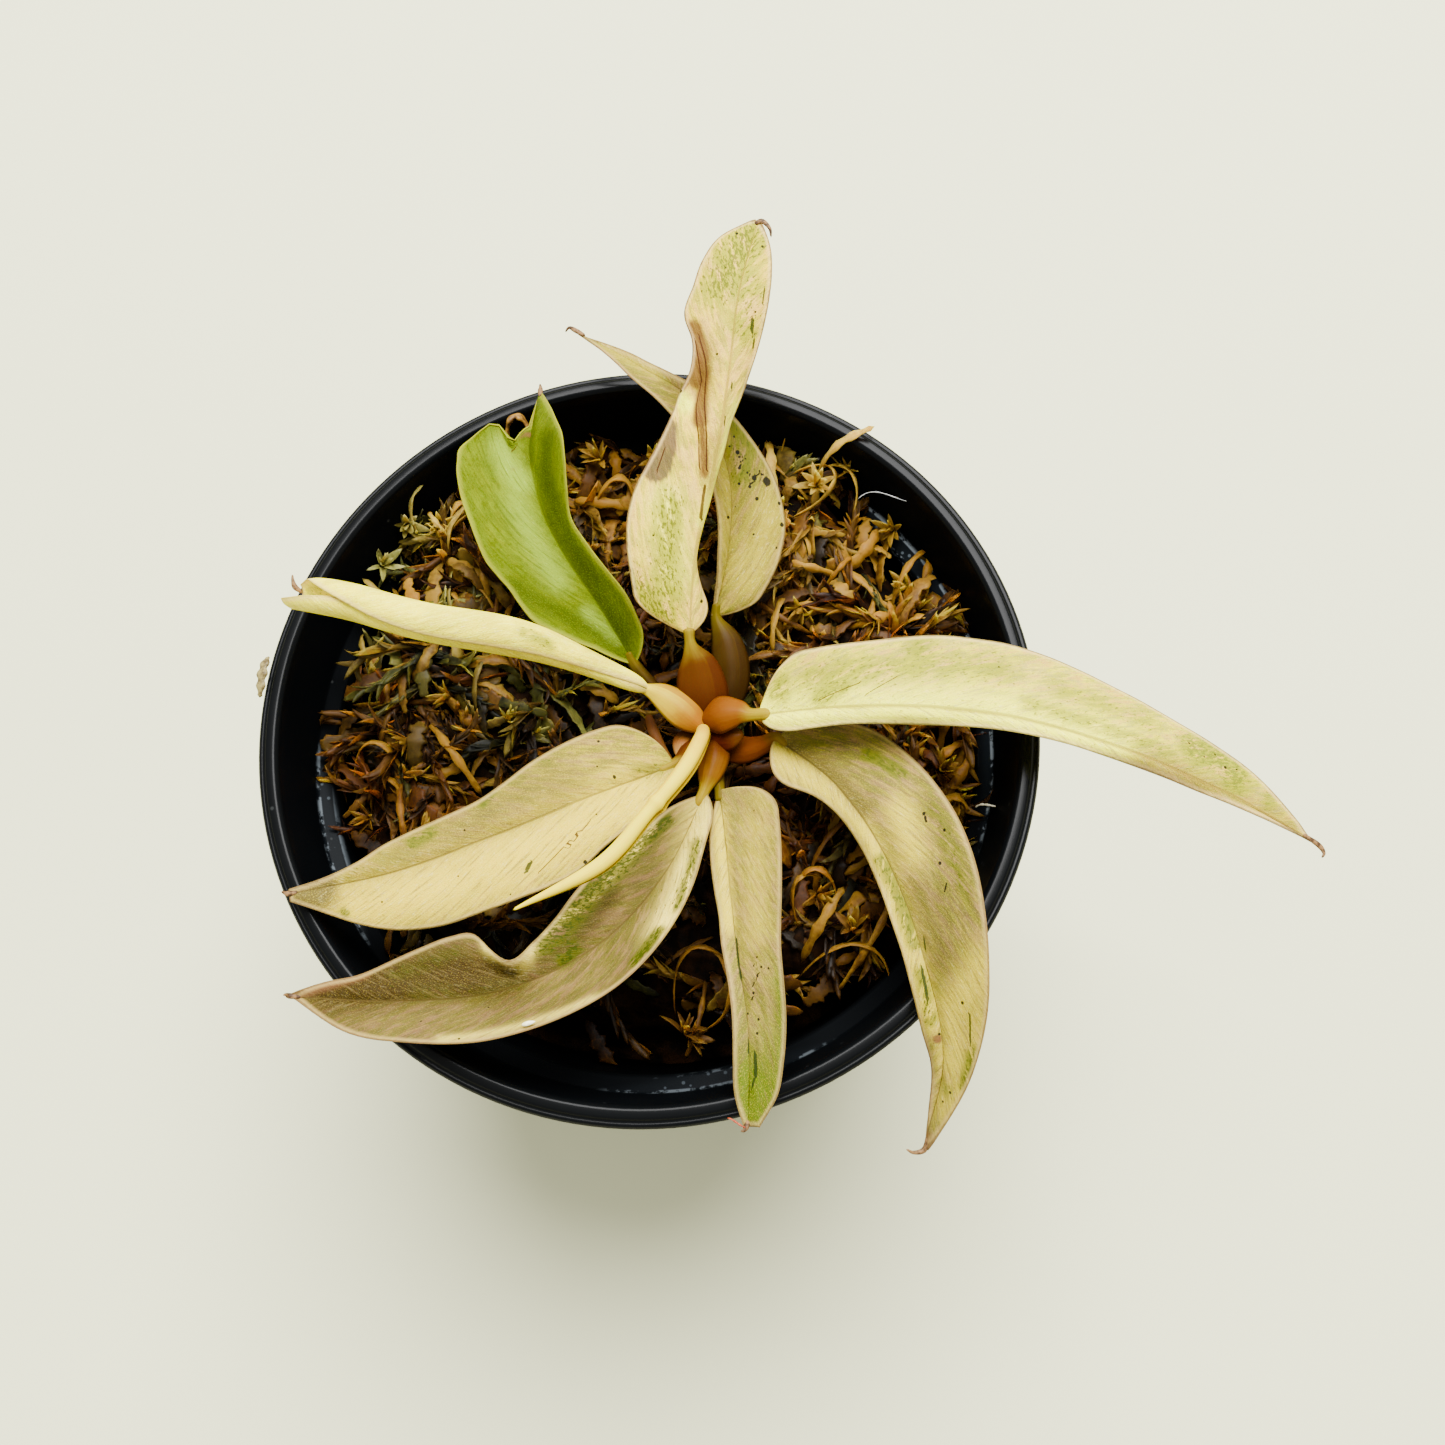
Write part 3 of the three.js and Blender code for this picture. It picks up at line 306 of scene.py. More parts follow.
# Leaf stalks and sheaths: spine, whole widths and whole depths, and a tint
STALKS = {
    "north": ([(7.2, 0.6, 73), (7.2, 4, 76.6), (6.6, 7.6, 78.8), (5.7, 10.2, 80.3), (5.5, 12.2, 81.4)],
              [3.4, 6.6, 5.4, 1.7, 1.5], [3, 3, 2.4, 1.4, 1], "orange"),
    "north_back": ([(9, 2, 71), (10.6, 7.5, 73), (10.2, 12.2, 74.3), (8.8, 15.6, 75), (8.9, 17.6, 75.8)],
                   [3, 5, 4.4, 1.6, 1.2], [2.6, 2.4, 2, 1.3, 0.9], "umber"),
    "east": ([(7, 1, 75.6), (9.4, 1.5, 77.8), (11.8, 1.5, 78.6), (13.4, 1.1, 79.2), (16, 1, 80.4)],
             [3.2, 5, 3.6, 1.8, 1.8], [3, 2.6, 2.2, 1.4, 1], "amber"),
    "east_under": ([(7.5, 0, 73.6), (10, -0.9, 75.6), (12.4, -0.8, 76.6)],
                   [3.4, 4, 1.4], [2.6, 2.2, 1], "ruby"),
    "southeast": ([(8, -0.5, 71.8), (12, -2, 73.4), (14.8, -1.7, 74.6), (16.6, -1, 75.5), (18, -2.4, 76)],
                  [4, 3.8, 2.6, 1.7, 1.5], [3, 2.4, 1.8, 1.3, 1], "russet"),
    "south": ([(7.8, -1, 71), (8.6, -4.6, 73.6), (9.2, -7.4, 75.6), (9.4, -9.6, 76.4)],
              [3.4, 2.4, 1.5, 1.4], [2.8, 2, 1.3, 1], "umber"),
    "southwest_lower": ([(8.6, -0.6, 73.6), (8.6, -3.4, 75.6), (8, -6, 76.2), (7.4, -8, 76.5),
                         (6.4, -10.4, 77.2)],
                        [3, 4, 3.2, 1.6, 1.4], [3, 2.6, 2, 1.4, 1], "caramel"),
    "southwest_upper": ([(7, 0, 72.5), (5.4, -2.6, 75.6), (3.9, -4.6, 77.3), (1.6, -5.9, 78)],
                        [3.6, 2.6, 1.6, 1.4], [3, 2, 1.3, 1], "orange"),
    "green": ([(7, 0.5, 71), (2.5, 4.5, 72.8), (-1.7, 9, 74.8), (-2.8, 11, 75.7)],
              [3, 2.2, 1.6, 1.4], [2.6, 2, 1.3, 1], "umber"),
    "sheath": ([(6, 0, 73.6), (4.6, -1.4, 75), (4.2, -3.8, 75.4)],
               [2.4, 3, 1.2], [1.6, 1.2, 1], "pink"),
    "strap": ([(-0.4, 3.2, 72.6), (0.5, 0.6, 73.6), (1.9, -2, 73.4), (3.6, -4.6, 72.4)],
              [0.9, 1.5, 1, 0.8], [0.5, 0.5, 0.4, 0.4], "strap"),
}
WEST_STALK = ([(7.4, -0.2, 76.4), (4.8, 2, 77.4), (2, 4.1, 77.9), (-0.3, 5.1, 78), (-2.2, 5.6, 78.9)],
              [2, 4.5, 3.5, 1.5, 1.6], [1.6, 2, 1.7, 1.3, 1])
SPEAR = ([(7.2, -0.1, 76.6), (7.2, -3.4, 83.6), (5.4, -8.2, 87.5), (1.3, -13.7, 88.8), (-4.4, -19.9, 88.3),
          (-14.9, -24.9, 86.5)], [1.7, 2.2, 2.5, 2.2, 2.1, 0.3])
# How deep the spear's seam is, its joint as (along, reach, swelling), and how full a stalk's section is
SPEAR_SEAM = 0.3
SPEAR_JOINT = (0.56, 0.016, 0.22)
LENS_POWER = 1.3
# Where the crown is, its radius at the top, how deep it starts, and its widths on the way up, in mm
CROWN = (7, 0.3, 71)
CROWN_RADIUS = 2.9
CROWN_ROOT = 34
CROWN_WIDTHS = [4, 5, 5.6, 2 * CROWN_RADIUS]

# Moss: rises in the bed as (x, y, radius, height), the bed's level, its foot as (radius, height), its edge,
# how far it reaches at each bearing in degrees, and patches as (x, y, radius, how bright 0..1, hue from olive
# 0 to rust 1, how thick it grows 0..1). A patch's brightness is mostly the moss's own tone; the darkest
# patches, on the deep south side, also hold painted shade.
MOUNDS = [(24, 31, 11, 6), (30, 17, 9, 4), (-27, 22, 12, 3), (-24, 4, 12, 2.5), (-33, -6, 8, 2),
          (21, -24, 8, 2), (31, -10, 7, 2.5), (2, 38, 8, 3), (-32, 27, 9, 3), (-8, -38, 12, -4)]
MOSS_LEVEL = 66.5
MOSS_FOOT = (34.0, 2.1)
MOSS_EDGE = 43.8
MOSS_REACH = ([-180, -161, -135, -106, -83, -63, -46, -23, 0, 25, 43, 55, 75, 131, 148, 162, 180],
              [41.5, 42, 40, 37.5, 36.5, 37, 41, 44, 43.2, 41.8, 41, 43.5, 43.5, 43.5, 43.5, 42, 41.5])
MOSS_PATCHES = [(24, 36, 12, 0.72, 0.5, 1), (30, 20, 10, 0.5, 0.6, 1), (22, 24, 7, 0.44, 0.6, 1),
                (-34, 28, 9, 0.62, 0.14, 1), (-26, 30, 6, 0.56, 0.66, 1), (-5, 38, 12, 0.5, 0.6, 1),
                (-16, 4, 7, 0.38, 0, 1), (-12, 14, 7, 0.24, 0.66, 1), (-32, 4, 8, 0.34, 0.4, 1),
                (-24, -2, 8, 0.36, 0.6, 1), (-36, -8, 8, 0.32, 0.7, 1), (14, 12, 7, 0.26, 0.4, 0.8),
                (36, -4, 10, 0.42, 0.75, 1), (36, -14, 8, 0.52, 0.45, 1), (20, -10, 8, 0.24, 0.85, 0.8),
                (22, -24, 9, 0.32, 0.5, 0.9), (6, -33, 6, 0.38, 0.5, 0.7), (-9, -22, 8, 0.2, 0.25, 0.5),
                (-8, -38, 11, 0.1, 0.7, 0.2), (18, -38, 9, 0.08, 0.6, 0.12), (30, -32, 8, 0.25, 0.5, 0.4),
                (-28, -26, 9, 0.3, 0.4, 0.6), (2, 3, 9, 0.12, 0.7, 0.5), (-40, 12, 6, 0.4, 0.3, 0.8)]

# Rings along a frond, and the turn from one leaf of a shoot to the next, in radians
FROND_RINGS = 20
LEAF_TURN = 2.4
# Olive, gold and rust moss, from its darkest, which is painted shade deep in the gaps, to its palest tips
MOSS_TINTS = (("0c0c04", "140a02", "160802"), ("33320e", "452a08", "3e1e04"),
              ("66642a", "7c5814", "6c4008"), ("a89e58", "bc983a", "ac8028"))


# Node materials

def tint(code):
    """A linear colour with its alpha, from a six-figure sRGB code."""
    parts = [int(code[k:k + 2], 16) / 255 for k in (0, 2, 4)]
    return tuple(c / 12.92 if c <= 0.04045 else ((c + 0.055) / 1.055) ** 2.4 for c in parts) + (1.0,)


class Signal:
    """One output of a material's nodes, which Python's own signs add, subtract and multiply."""

    def __init__(self, finish, socket):
        self.finish = finish
        self.socket = socket

    def _math(self, operation, first, second=0.0):
        return self.finish.node("ShaderNodeMath", {"operation": operation}, {0: first, 1: second})

    def __add__(self, other):
        return self._math("ADD", self, other)

    def __sub__(self, other):
        return self._math("SUBTRACT", self, other)

    def __rsub__(self, other):
        return self._math("SUBTRACT", other, self)

    def __mul__(self, other):
        return self._math("MULTIPLY", self, other)

    def __abs__(self):
        return self._math("ABSOLUTE", self)

    __radd__ = __add__
    __rmul__ = __mul__

    def step(self, low, high):
        """0 below low and 1 above high, with a smooth way between them."""
        return self.finish.node("ShaderNodeMapRange", {"interpolation_type": "SMOOTHSTEP"},
                                {"Value": self, "From Min": low, "From Max": high})


class Finish:
    """A procedural material: a Principled surface and the nodes that feed it."""

    def __init__(self, name, base, fixed):
        self.material = bpy.data.materials.new(name)
        self.material.use_nodes = True
        self.nodes = self.material.node_tree.nodes
        self.links = self.material.node_tree.links
        self.surface = self.nodes["Principled BSDF"]
        self.colour = tint(base) if isinstance(base, str) else tuple(base)
        for socket, value in fixed.items():
            self.surface.inputs[socket].default_value = value

    def node(self, kind, settings=None, inputs=None, output=0):
        """Adds a node with its settings and its sockets' values or links, and gives one output."""
        node = self.nodes.new(kind)
        for name, value in (settings or {}).items():
            setattr(node, name, value)
        for name, value in (inputs or {}).items():
            self.feed(node.inputs[name], value)
        return Signal(self, node.outputs[output])

    def feed(self, socket, value):
        if isinstance(value, Signal):
            self.links.new(value.socket, socket)
        else:
            socket.default_value = value

    def set(self, socket, value):
        self.feed(self.surface.inputs[socket], value)

    def place(self):
        return self.node("ShaderNodeTexCoord", output="Object")

    def uv(self, name):
        return self.node("ShaderNodeUVMap", {"uv_map": name})

    def attribute(self, name):
        return self.node("ShaderNodeAttribute", {"attribute_name": name}, output="Fac")

    def axis(self, vector, name):
        return self.node("ShaderNodeSeparateXYZ", {}, {0: vector}, output=name)

    def stretch(self, vector, scale):
        return self.node("ShaderNodeMapping", {}, {"Vector": vector, "Scale": scale})

    def noise(self, vector, scale, detail=3.0, roughness=0.55):
        return self.node("ShaderNodeTexNoise", {},
                         {"Vector": vector, "Scale": scale, "Detail": detail, "Roughness": roughness})

    def mix(self, share, first, second):
        return self.node("ShaderNodeMix", {"data_type": "RGBA"}, {0: share, 6: first, 7: second}, output=2)

    def paint(self, share, over):
        """Lays a tint or a mixed colour over the colour so far, on a share of the surface."""
        self.colour = self.mix(share, self.colour, tint(over) if isinstance(over, str) else over)

    def length(self, vector):
        return self.node("ShaderNodeVectorMath", {"operation": "LENGTH"}, {0: vector}, "Value")

    def specks(self, vector, scale, share, size):
        """Round dots on a random share of the cells of a pattern."""
        cells = {"Vector": vector, "Scale": scale}
        near = self.node("ShaderNodeTexVoronoi", {}, cells, output="Distance")
        chance = self.node("ShaderNodeTexVoronoi", {}, cells, output="Color")
        pick = self.node("ShaderNodeSeparateColor", {}, {0: chance})
        return (1 - near.step(size * 0.7, size)) * pick.step(1 - share, 1 - share + 0.01)

    def done(self, roughness, height, strength, distance):
        """Links the colour, the roughness and the relief of a height, and gives the material."""
        self.set("Base Color", self.colour)
        self.set("Roughness", roughness)
        relief = {"Strength": strength, "Distance": distance, "Height": height}
        self.set("Normal", self.node("ShaderNodeBump", {}, relief))
        return self.material


# Curves and surfaces, in millimetres

def smooth_values(values, t):
    """A smooth curve through values at even steps, at each t in 0..1."""
    points = np.asarray(values, float)
    flat = points.ndim == 1
    if flat:
        points = points[:, None]
    held = np.vstack([2 * points[0] - points[1], points, 2 * points[-1] - points[-2]])
    place = np.clip(t, 0, 1) * (len(points) - 1)
    cell = np.minimum(place.astype(int), len(points) - 2)
    share = (place - cell)[:, None]
    before, start, end, after = held[cell], held[cell + 1], held[cell + 2], held[cell + 3]
    leave, arrive = (end - before) / 2, (after - start) / 2
    out = ((2 * start - 2 * end + leave + arrive) * share**3
           + (-3 * start + 3 * end - 2 * leave - arrive) * share**2 + leave * share + start)
    return out[:, 0] if flat else out


def unit(vectors):
    return vectors / np.maximum(np.linalg.norm(vectors, axis=-1, keepdims=True), 1e-9)


def frames_along(spine, t):
    """Places on a spine, with the directions ahead, level to the right, and up."""
    step = 1e-4
    place = smooth_values(spine, t)
    after, before = np.minimum(t + step, 1), np.maximum(t - step, 0)
    ahead = unit(smooth_values(spine, after) - smooth_values(spine, before))
    right = unit(np.c_[ahead[:, 1], -ahead[:, 0], np.zeros(len(t))])
    return place, ahead, right, np.cross(right, ahead)


def spine_length(spine):
    line = smooth_values(spine, np.linspace(0, 1, 200))
    return np.linalg.norm(np.diff(line, axis=0), axis=1).sum()


def blade_surface(leaf, t, s):
    """Points of a blade at t along and s across, and how far each is from the midrib and the margin."""
    place, ahead, right, up = frames_along(leaf["spine"], t)
    length = spine_length(leaf["spine"])
    past_heel = np.clip(t * length / leaf["heel"], 0, 1)
    rounding = (1 - (1 - past_heel) ** 2) ** leaf["base"]
    narrowest = 0.1 + 0.4 * np.clip((1 - t) * length / 5, 0, 1)
    torn = t + leaf.get("ragged", 0) * bumps(s * 5, 0 * s)
    out, rise, away, inset = (np.zeros(len(t)) for _ in range(4))
    for side, half in (("left", s < 0), ("right", s >= 0)):
        widths, slopes, curls = leaf[side]
        width = np.maximum(smooth_values(widths, torn) * rounding, narrowest)
        slope = np.radians(smooth_values(slopes, t))
        turn = np.radians(smooth_values(curls, t))
        turn = np.where(np.abs(turn) < 2e-4, 2e-4, turn)
        angle = slope + turn * np.abs(s)
        out = np.where(half, width / turn * (np.sin(angle) - np.sin(slope)) * np.sign(s), out)
        rise = np.where(half, width / turn * (np.cos(slope) - np.cos(angle)), rise)
        away = np.where(half, width * np.abs(s), away)
        inset = np.where(half, width * (1 - np.abs(s)), inset)
    height, count, phase = leaf["wave"]
    rise = rise + height * s * s * rounding * np.sin(2 * np.pi * count * t + phase)
    if height > 0:
        rise = rise - GROOVE_DEPTH * np.exp(-(away / GROOVE_WIDTH) ** 2) * rounding
        swell = bumps(t * length / 4.5 + 11 * (s > 0), away / 3.2 + 3)
        rise = rise + SWELLING * swell * np.minimum(away, 1)
    for along, across, reach_along, reach_across, lift in leaf.get("lifts", ()):
        rise = rise + lift * np.exp(-((t - along) / reach_along) ** 2 - ((s - across) / reach_across) ** 2)
    for along, beside, reach_along, reach_beside, shift in leaf.get("tears", ()):
        near = np.exp(-((t - along) / reach_along) ** 2 - ((away * np.sign(s) - beside) / reach_beside) ** 2)
        place = place + ahead * (near * shift)[:, None]
    return place + right * out[:, None] + up * rise[:, None], away, np.minimum(inset, (1 - t) * length)


def cell_value(i, j):
    mixed = np.sin(i * 127.1 + j * 311.7) * 43758.5453
    return mixed - np.floor(mixed)


def bumps(x, y):
    """A smooth bumpy field between -1 and 1."""
    i, j = np.floor(x), np.floor(y)
    u, v = x - i, y - j
    u, v = u * u * (3 - 2 * u), v * v * (3 - 2 * v)
    low = cell_value(i, j) * (1 - u) + cell_value(i + 1, j) * u
    high = cell_value(i, j + 1) * (1 - u) + cell_value(i + 1, j + 1) * u
    return 2 * (low * (1 - v) + high * v) - 1


def moss_reach(x, y):
    """How far the moss reaches from the pot's middle at a place's bearing."""
    return np.interp(np.degrees(np.arctan2(y, x)), *MOSS_REACH)


def moss_kind(x, y):
    """How bright the moss is, its hue and how thick it grows, blended from its patches."""
    shares = [np.exp(-((x - px) ** 2 + (y - py) ** 2) / reach**2) + 1e-5
              for px, py, reach, *_ in MOSS_PATCHES]
    total = sum(shares)
    return [sum(share * patch[k] for share, patch in zip(shares, MOSS_PATCHES)) / total for k in (3, 4, 5)]


def moss_height(x, y):
    """The bed's height, lower round the crown, where it grows thin and at its edge."""
    height = MOSS_LEVEL + 2.2 * bumps(x / 7, y / 7) + 1.4 * bumps(x / 3.5 + 20, y / 3.5)
    for mx, my, radius, rise in MOUNDS:
        height = height + rise * np.exp(-((x - mx) ** 2 + (y - my) ** 2) / radius**2)
    inside = moss_reach(x, y) - np.hypot(x, y)
    height = height - 5 * np.exp(-np.maximum(inside, -1) / 2) - 6 * (1 - moss_kind(x, y)[2]) ** 1.5
    from_crown = np.hypot(x - CROWN[0], y - CROWN[1])
    ceiling = 67 + 4.5 * np.minimum(from_crown / 14, 1)
    return np.minimum(height, ceiling + np.maximum(0, from_crown / 7.5 - 2.4))


def inner_radius(z):
    return np.interp(z, WALL_HEIGHTS, WALL_RADII)


# Meshes

def points_of(mesh):
    flat = np.empty(3 * len(mesh.vertices))
    mesh.vertices.foreach_get("co", flat)
    return flat.reshape(-1, 3)


def move_points(mesh, points):
    mesh.vertices.foreach_set("co", (np.asarray(points) * MM).ravel())
    mesh.update()


def write_uv(mesh, name, values):
    """Stores one pair of values a vertex as a UV map."""
    corners = np.empty(len(mesh.loops), int)
    mesh.loops.foreach_get("vertex_index", corners)
    layer = mesh.uv_layers.new(name=name)
    layer.data.foreach_set("uv", np.asarray(values)[corners].ravel())


def write_attribute(mesh, name, values):
    layer = mesh.attributes.new(name, "FLOAT", "POINT")
    layer.data.foreach_set("value", np.asarray(values, float))


def mesh_from(bm, name):
    mesh = bpy.data.meshes.new(name)
    bm.to_mesh(mesh)
    bm.free()
    mesh.shade_smooth()
    return mesh


def show(mesh, name, material, replaces=()):
    """Puts a mesh in the scene as a piece that rides on the root body."""
    piece = bpy.data.objects.new(name, mesh)
    bpy.context.scene.collection.objects.link(piece)
    mesh.materials.append(material)
    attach(piece, "root")
    if replaces:
        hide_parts(*replaces)
    return piece


def flat_grid(across, ahead):
    """A grid whose x runs -1..1 across and y runs 0..1 ahead."""
    bm = bmesh.new()
    bmesh.ops.create_grid(bm, x_segments=across, y_segments=ahead, size=1)
    halved = Matrix.Translation((0, 0.5, 0)) @ Matrix.Diagonal((1, 0.5, 1, 1))
    bmesh.ops.transform(bm, matrix=halved, verts=bm.verts)
    return bm


def spun(profile, steps, name, rounding=0):
    """A closed solid turned from a section of radii and heights in mm, with its corners rounded."""
    bm = bmesh.new()
    chain = [bm.verts.new((r * MM, 0, z * MM)) for r, z in profile]
    for start, end in zip(chain, chain[1:]):
        bm.edges.new((start, end))
    if rounding:
        bmesh.ops.bevel(bm, geom=chain[1:-1], offset=rounding, offset_type="OFFSET", affect="VERTICES",
                        segments=3, profile=0.5, material=-1)
    bmesh.ops.spin(bm, geom=bm.verts[:] + bm.edges[:], cent=(0, 0, 0), axis=(0, 0, 1), angle=2 * math.pi,
                   steps=steps, use_merge=True)
    bmesh.ops.remove_doubles(bm, verts=bm.verts, dist=WELD)
    bmesh.ops.recalc_face_normals(bm, faces=bm.faces)
    return mesh_from(bm, name)


def closed_rod(spine, width, depth, rings=48, sides=20, section=None):
    """A rod with rounded ends: a rolled grid whose seam and ends are merged. Its UV map holds the way
    round and the way along."""
    bm = flat_grid(sides, rings)
    mesh = mesh_from(bm, "rod")
    grid = points_of(mesh)
    t, angle = grid[:, 1], grid[:, 0] * np.pi
    write_uv(mesh, "rod", np.c_[grid[:, 0] * 0.5 + 0.5, t])
    place, _, right, up = frames_along(spine, t)
    length = spine_length(spine)
    size = smooth_values(width, t) / 2
    nearest = np.minimum(t, 1 - t) * length
    cap = np.sqrt(1 - (1 - np.clip(nearest / size, 0, 1)) ** 2)
    if section is not None:
        size = size * section(t, angle)
    thick = smooth_values(depth, t) / smooth_values(width, t)
    move_points(mesh, place + right * (size * cap * np.cos(angle))[:, None]
                + up * (size * thick * cap * np.sin(angle))[:, None])
    bm = bmesh.new()
    bm.from_mesh(mesh)
    bmesh.ops.remove_doubles(bm, verts=bm.verts, dist=WELD)
    bmesh.ops.recalc_face_normals(bm, faces=bm.faces)
    bm.to_mesh(mesh)
    bm.free()
    return mesh


def joined(meshes, name):
    bm = bmesh.new()
    for mesh in meshes:
        bm.from_mesh(mesh)
    return mesh_from(bm, name)


def spindle_template(sides, rings):
    """A closed spindle for many small shapes: its mesh, and each vertex's way along and way round."""
    bm = bmesh.new()
    bmesh.ops.create_uvsphere(bm, u_segments=sides, v_segments=rings, radius=1)
    mesh = mesh_from(bm, "spindle")
    ball = points_of(mesh)
    along = np.arccos(np.clip(-ball[:, 2], -1, 1)) / np.pi
    return mesh, along, np.arctan2(ball[:, 1], ball[:, 0])


def copies(template, count, name):
    """One mesh with many copies of a small template, in order."""
    bm = bmesh.new()
    for _ in range(count):
        bm.from_mesh(template)
    return mesh_from(bm, name)


def leaflets(shape, root, ahead, normal, length, width, thick, curl, cup):
    """Points of many small pointed leaves. The first index is the leaf and the second its vertex."""
    t, angle = shape
    side = unit(np.cross(ahead, normal))[:, None, :]
    rise = np.cross(side[:, 0], ahead)[:, None, :]
    bend = np.where(np.abs(curl) < 0.01, 0.01, curl)[:, None]
    reach = (np.sin(bend * t) / bend * length[:, None])[..., None]
    lift = ((1 - np.cos(bend * t)) / bend * length[:, None])[..., None]
    outline = 1.9 * (t**0.6) * (1 - t) ** 0.85
    half = width[:, None] / 2 * outline * np.cos(angle)
    wall = thick[:, None] / 2 * np.minimum(outline, 1) * np.sin(angle)
    hollow = cup[:, None] * np.abs(half) ** 2 / np.maximum(width[:, None], 0.1) * 2
    return (root[:, None, :] + ahead[:, None, :] * reach + side * half[..., None]
            + rise * (lift + (wall + hollow)[..., None]))


def along_paths(paths, u):
    """Places and directions at u along many curves, each of four control points."""
    place = [(1 - u) ** 3, 3 * u * (1 - u) ** 2, 3 * u * u * (1 - u), u**3]
    slope = [-((1 - u) ** 2), (1 - u) ** 2 - 2 * u * (1 - u), 2 * u * (1 - u) - u * u, u * u]
    blend = lambda shares: sum(paths[:, k, None, :] * shares[k][..., None] for k in range(4))
    return blend(place), unit(blend(slope))


def strands(shape, paths, radius, flat, teeth=0):
    """Points of many bent strands, each on a curve of four control points. Teeth notch every other ring."""
    t, angle = shape
    place, ahead = along_paths(paths, t[None, :])
    turned = np.cross(paths[:, 1] - paths[:, 0], paths[:, 3] - paths[:, 0]) + [0, 0, 0.01]
    side = unit(np.cross(ahead, unit(turned)[:, None, :]))
    rise = np.cross(side, ahead)
    size = radius[:, None] * (0.25 + 0.75 * np.sin(np.pi * np.clip(t, 0.08, 0.9)) ** 0.6)
    size = size * (1 + 0.25 * np.sin(t * 23 + radius[:, None] * 90))
    size = size * np.where((t < 1e-4) | (t > 1 - 1e-4), 0.02, 1)
    if teeth:
        ring = np.round(t * FROND_RINGS)[None, :]
        size = size * (1 - teeth * (ring % 2) * cell_value(ring, radius[:, None]))
    return (place + rise * (size * np.cos(angle))[..., None]
            + side * (size * flat[:, None] * np.sin(angle))[..., None])


def keep_in_pot(points):
    """Draws points that would pass the pot's wall back inside it."""
    away = np.maximum(np.hypot(points[..., 0], points[..., 1]), 1e-6)
    share = np.minimum(1, (inner_radius(points[..., 2]) - POT_GAP) / away)
    points[..., 0] *= share
    points[..., 1] *= share
    return points


# Finishes

def leaf_finish(name, look, kinds):
    """A waxy blade: pale and dark streaks along the side veins, green flecks, dry scars and specks, a sunken
    midrib and a thin dry margin. Its light and shade marks are painted highlight and painted shade, whitish
    specks are painted glints, the midrib line is painted shade, and a pale band inside the margin is partly
    painted edge highlight."""
    finish = Finish(name, look["base"], {"IOR": 1.42, "Subsurface Weight": 0.05, "Subsurface Scale": 0.001,
                                         "Specular IOR Level": look["gloss"]})
    veins = finish.uv("veins")
    patch, line, fleck, grain, dots, mottle, cloud, sheen = (
        finish.noise(finish.stretch(veins, (*scale, 1)), 1, detail, rough) for scale, detail, rough in GRAINS)
    soft = {kind: finish.attribute(kind) for kind in SOFT_MARKS if kind in kinds}
    finish.paint(patch.step(0.4, 0.6), look["second"])
    finish.paint(line.step(0.48, 0.66) * 0.45, look["pale"])
    finish.paint(cloud.step(0.46, 0.58) * look["mottled"], look["wash"])
    finish.paint((1 - cloud.step(0.38, 0.5)) * look["mottled"], look["blush"])
    finish.paint((1 - mottle.step(0.36, 0.52)) * look["dim"], look["streak"])
    # Painted highlight and painted shade from the light and shade marks; lime is the blade's own green.
    for kind in ("light", "shade", "lime"):
        if kind in soft:
            finish.paint(soft[kind] * (0.65 + line * 0.5), look[kind])
    finish.paint((1 - line.step(0.34, 0.47)) * look["dim"], look["streak"])
    finish.paint(grain.step(0.5, 0.7) * 0.4, look["pale"])
    finish.paint((1 - grain.step(0.36, 0.5)) * 0.25, look["streak"])
    # Painted glints: whitish specks along the veins that stand in for sparkling highlights, strongest on the
    # highlight marks.
    painted_glint = sheen.step(0.5, 0.66) * mottle.step(0.42, 0.62)
    if "light" in soft:
        painted_glint = painted_glint * (0.15 + soft["light"])
    finish.paint(painted_glint * look["painted_glint"], look["glint"])
    finish.paint((fleck + line * 0.2 + look["flecks"]).step(0.82, 0.92) * 0.6, look["wash"])
    if "green" in soft:
        finish.paint(soft["green"].step(0.1, 1) * cloud.step(0.34, 0.5) * 0.8, look["wash"])
        finish.paint((dots + fleck * 0.3 + soft["green"] * 0.17).step(0.83, 0.9) * 0.85, look["green"])
    # Painted shade in the sunken midrib: a dark line along it.
    finish.paint((1 - finish.attribute("away").step(0.08, 0.34)) * look["rib"], look["rib_shade_tint"])
    if "brown" in soft:
        finish.paint(soft["brown"].step(0.15, 0.85) * (0.6 + line * 0.6), look["brown"])
    if "grey" in soft:
        finish.paint((soft["grey"] + line * 0.5).step(0.5, 0.8) * 0.85, "4a3a30")
    inset = finish.attribute("inset")
    # A pale band inside the margin, partly its own paler colour and partly painted edge highlight, then the
    # thin dry rim at the very edge.
    finish.paint((1 - inset.step(0.3, 0.8)) * 0.5, look["lip"])
    finish.paint((1 - (inset + mottle * 0.4).step(0.32, 0.5)) * look["margin"], look["rim"])
    ragged = fleck * 1.2 - 0.6
    for kind, code in (("scar", "3a1c0c"), ("crack", "3a1c0c"), ("slash", "1c2a0c")):
        if kind in kinds:
            within = 1 - (abs(finish.attribute(kind)) + ragged).step(0.7, 1.1)
            finish.paint(within * (1 - finish.attribute(kind + "_gap").step(0.2, 0.42)) * 0.9, code)
    if "dark" in kinds:
        within = 1 - (finish.length(finish.uv("specks")) + ragged).step(0.75, 1.05)
        finish.paint(within * (1 - finish.attribute("speck_gap").step(0.2, 0.42)) * 0.95, "0d0e09")
    relief = line * 0.35 + grain * 0.3 + fleck * 0.25 + patch * 1.2 + mottle * 0.5
    return finish.done(0.3 + fleck * 0.25, relief, 0.6, 0.0005)


# Noise along and across the side veins: scale, detail and roughness of the patches, lines, flecks, grain,
# dots, mottling, clouds and sheen
GRAINS = (((0.16, 0.34), 3, 0.55), ((0.2, 3), 3, 0.6), ((1.3, 2.6), 4, 0.65), ((5, 8), 2, 0.55),
          ((1.4, 3.2), 3, 0.65), ((0.8, 1.4), 5, 0.7), ((0.26, 1.1), 4, 0.62), ((1.1, 7), 3, 0.7))
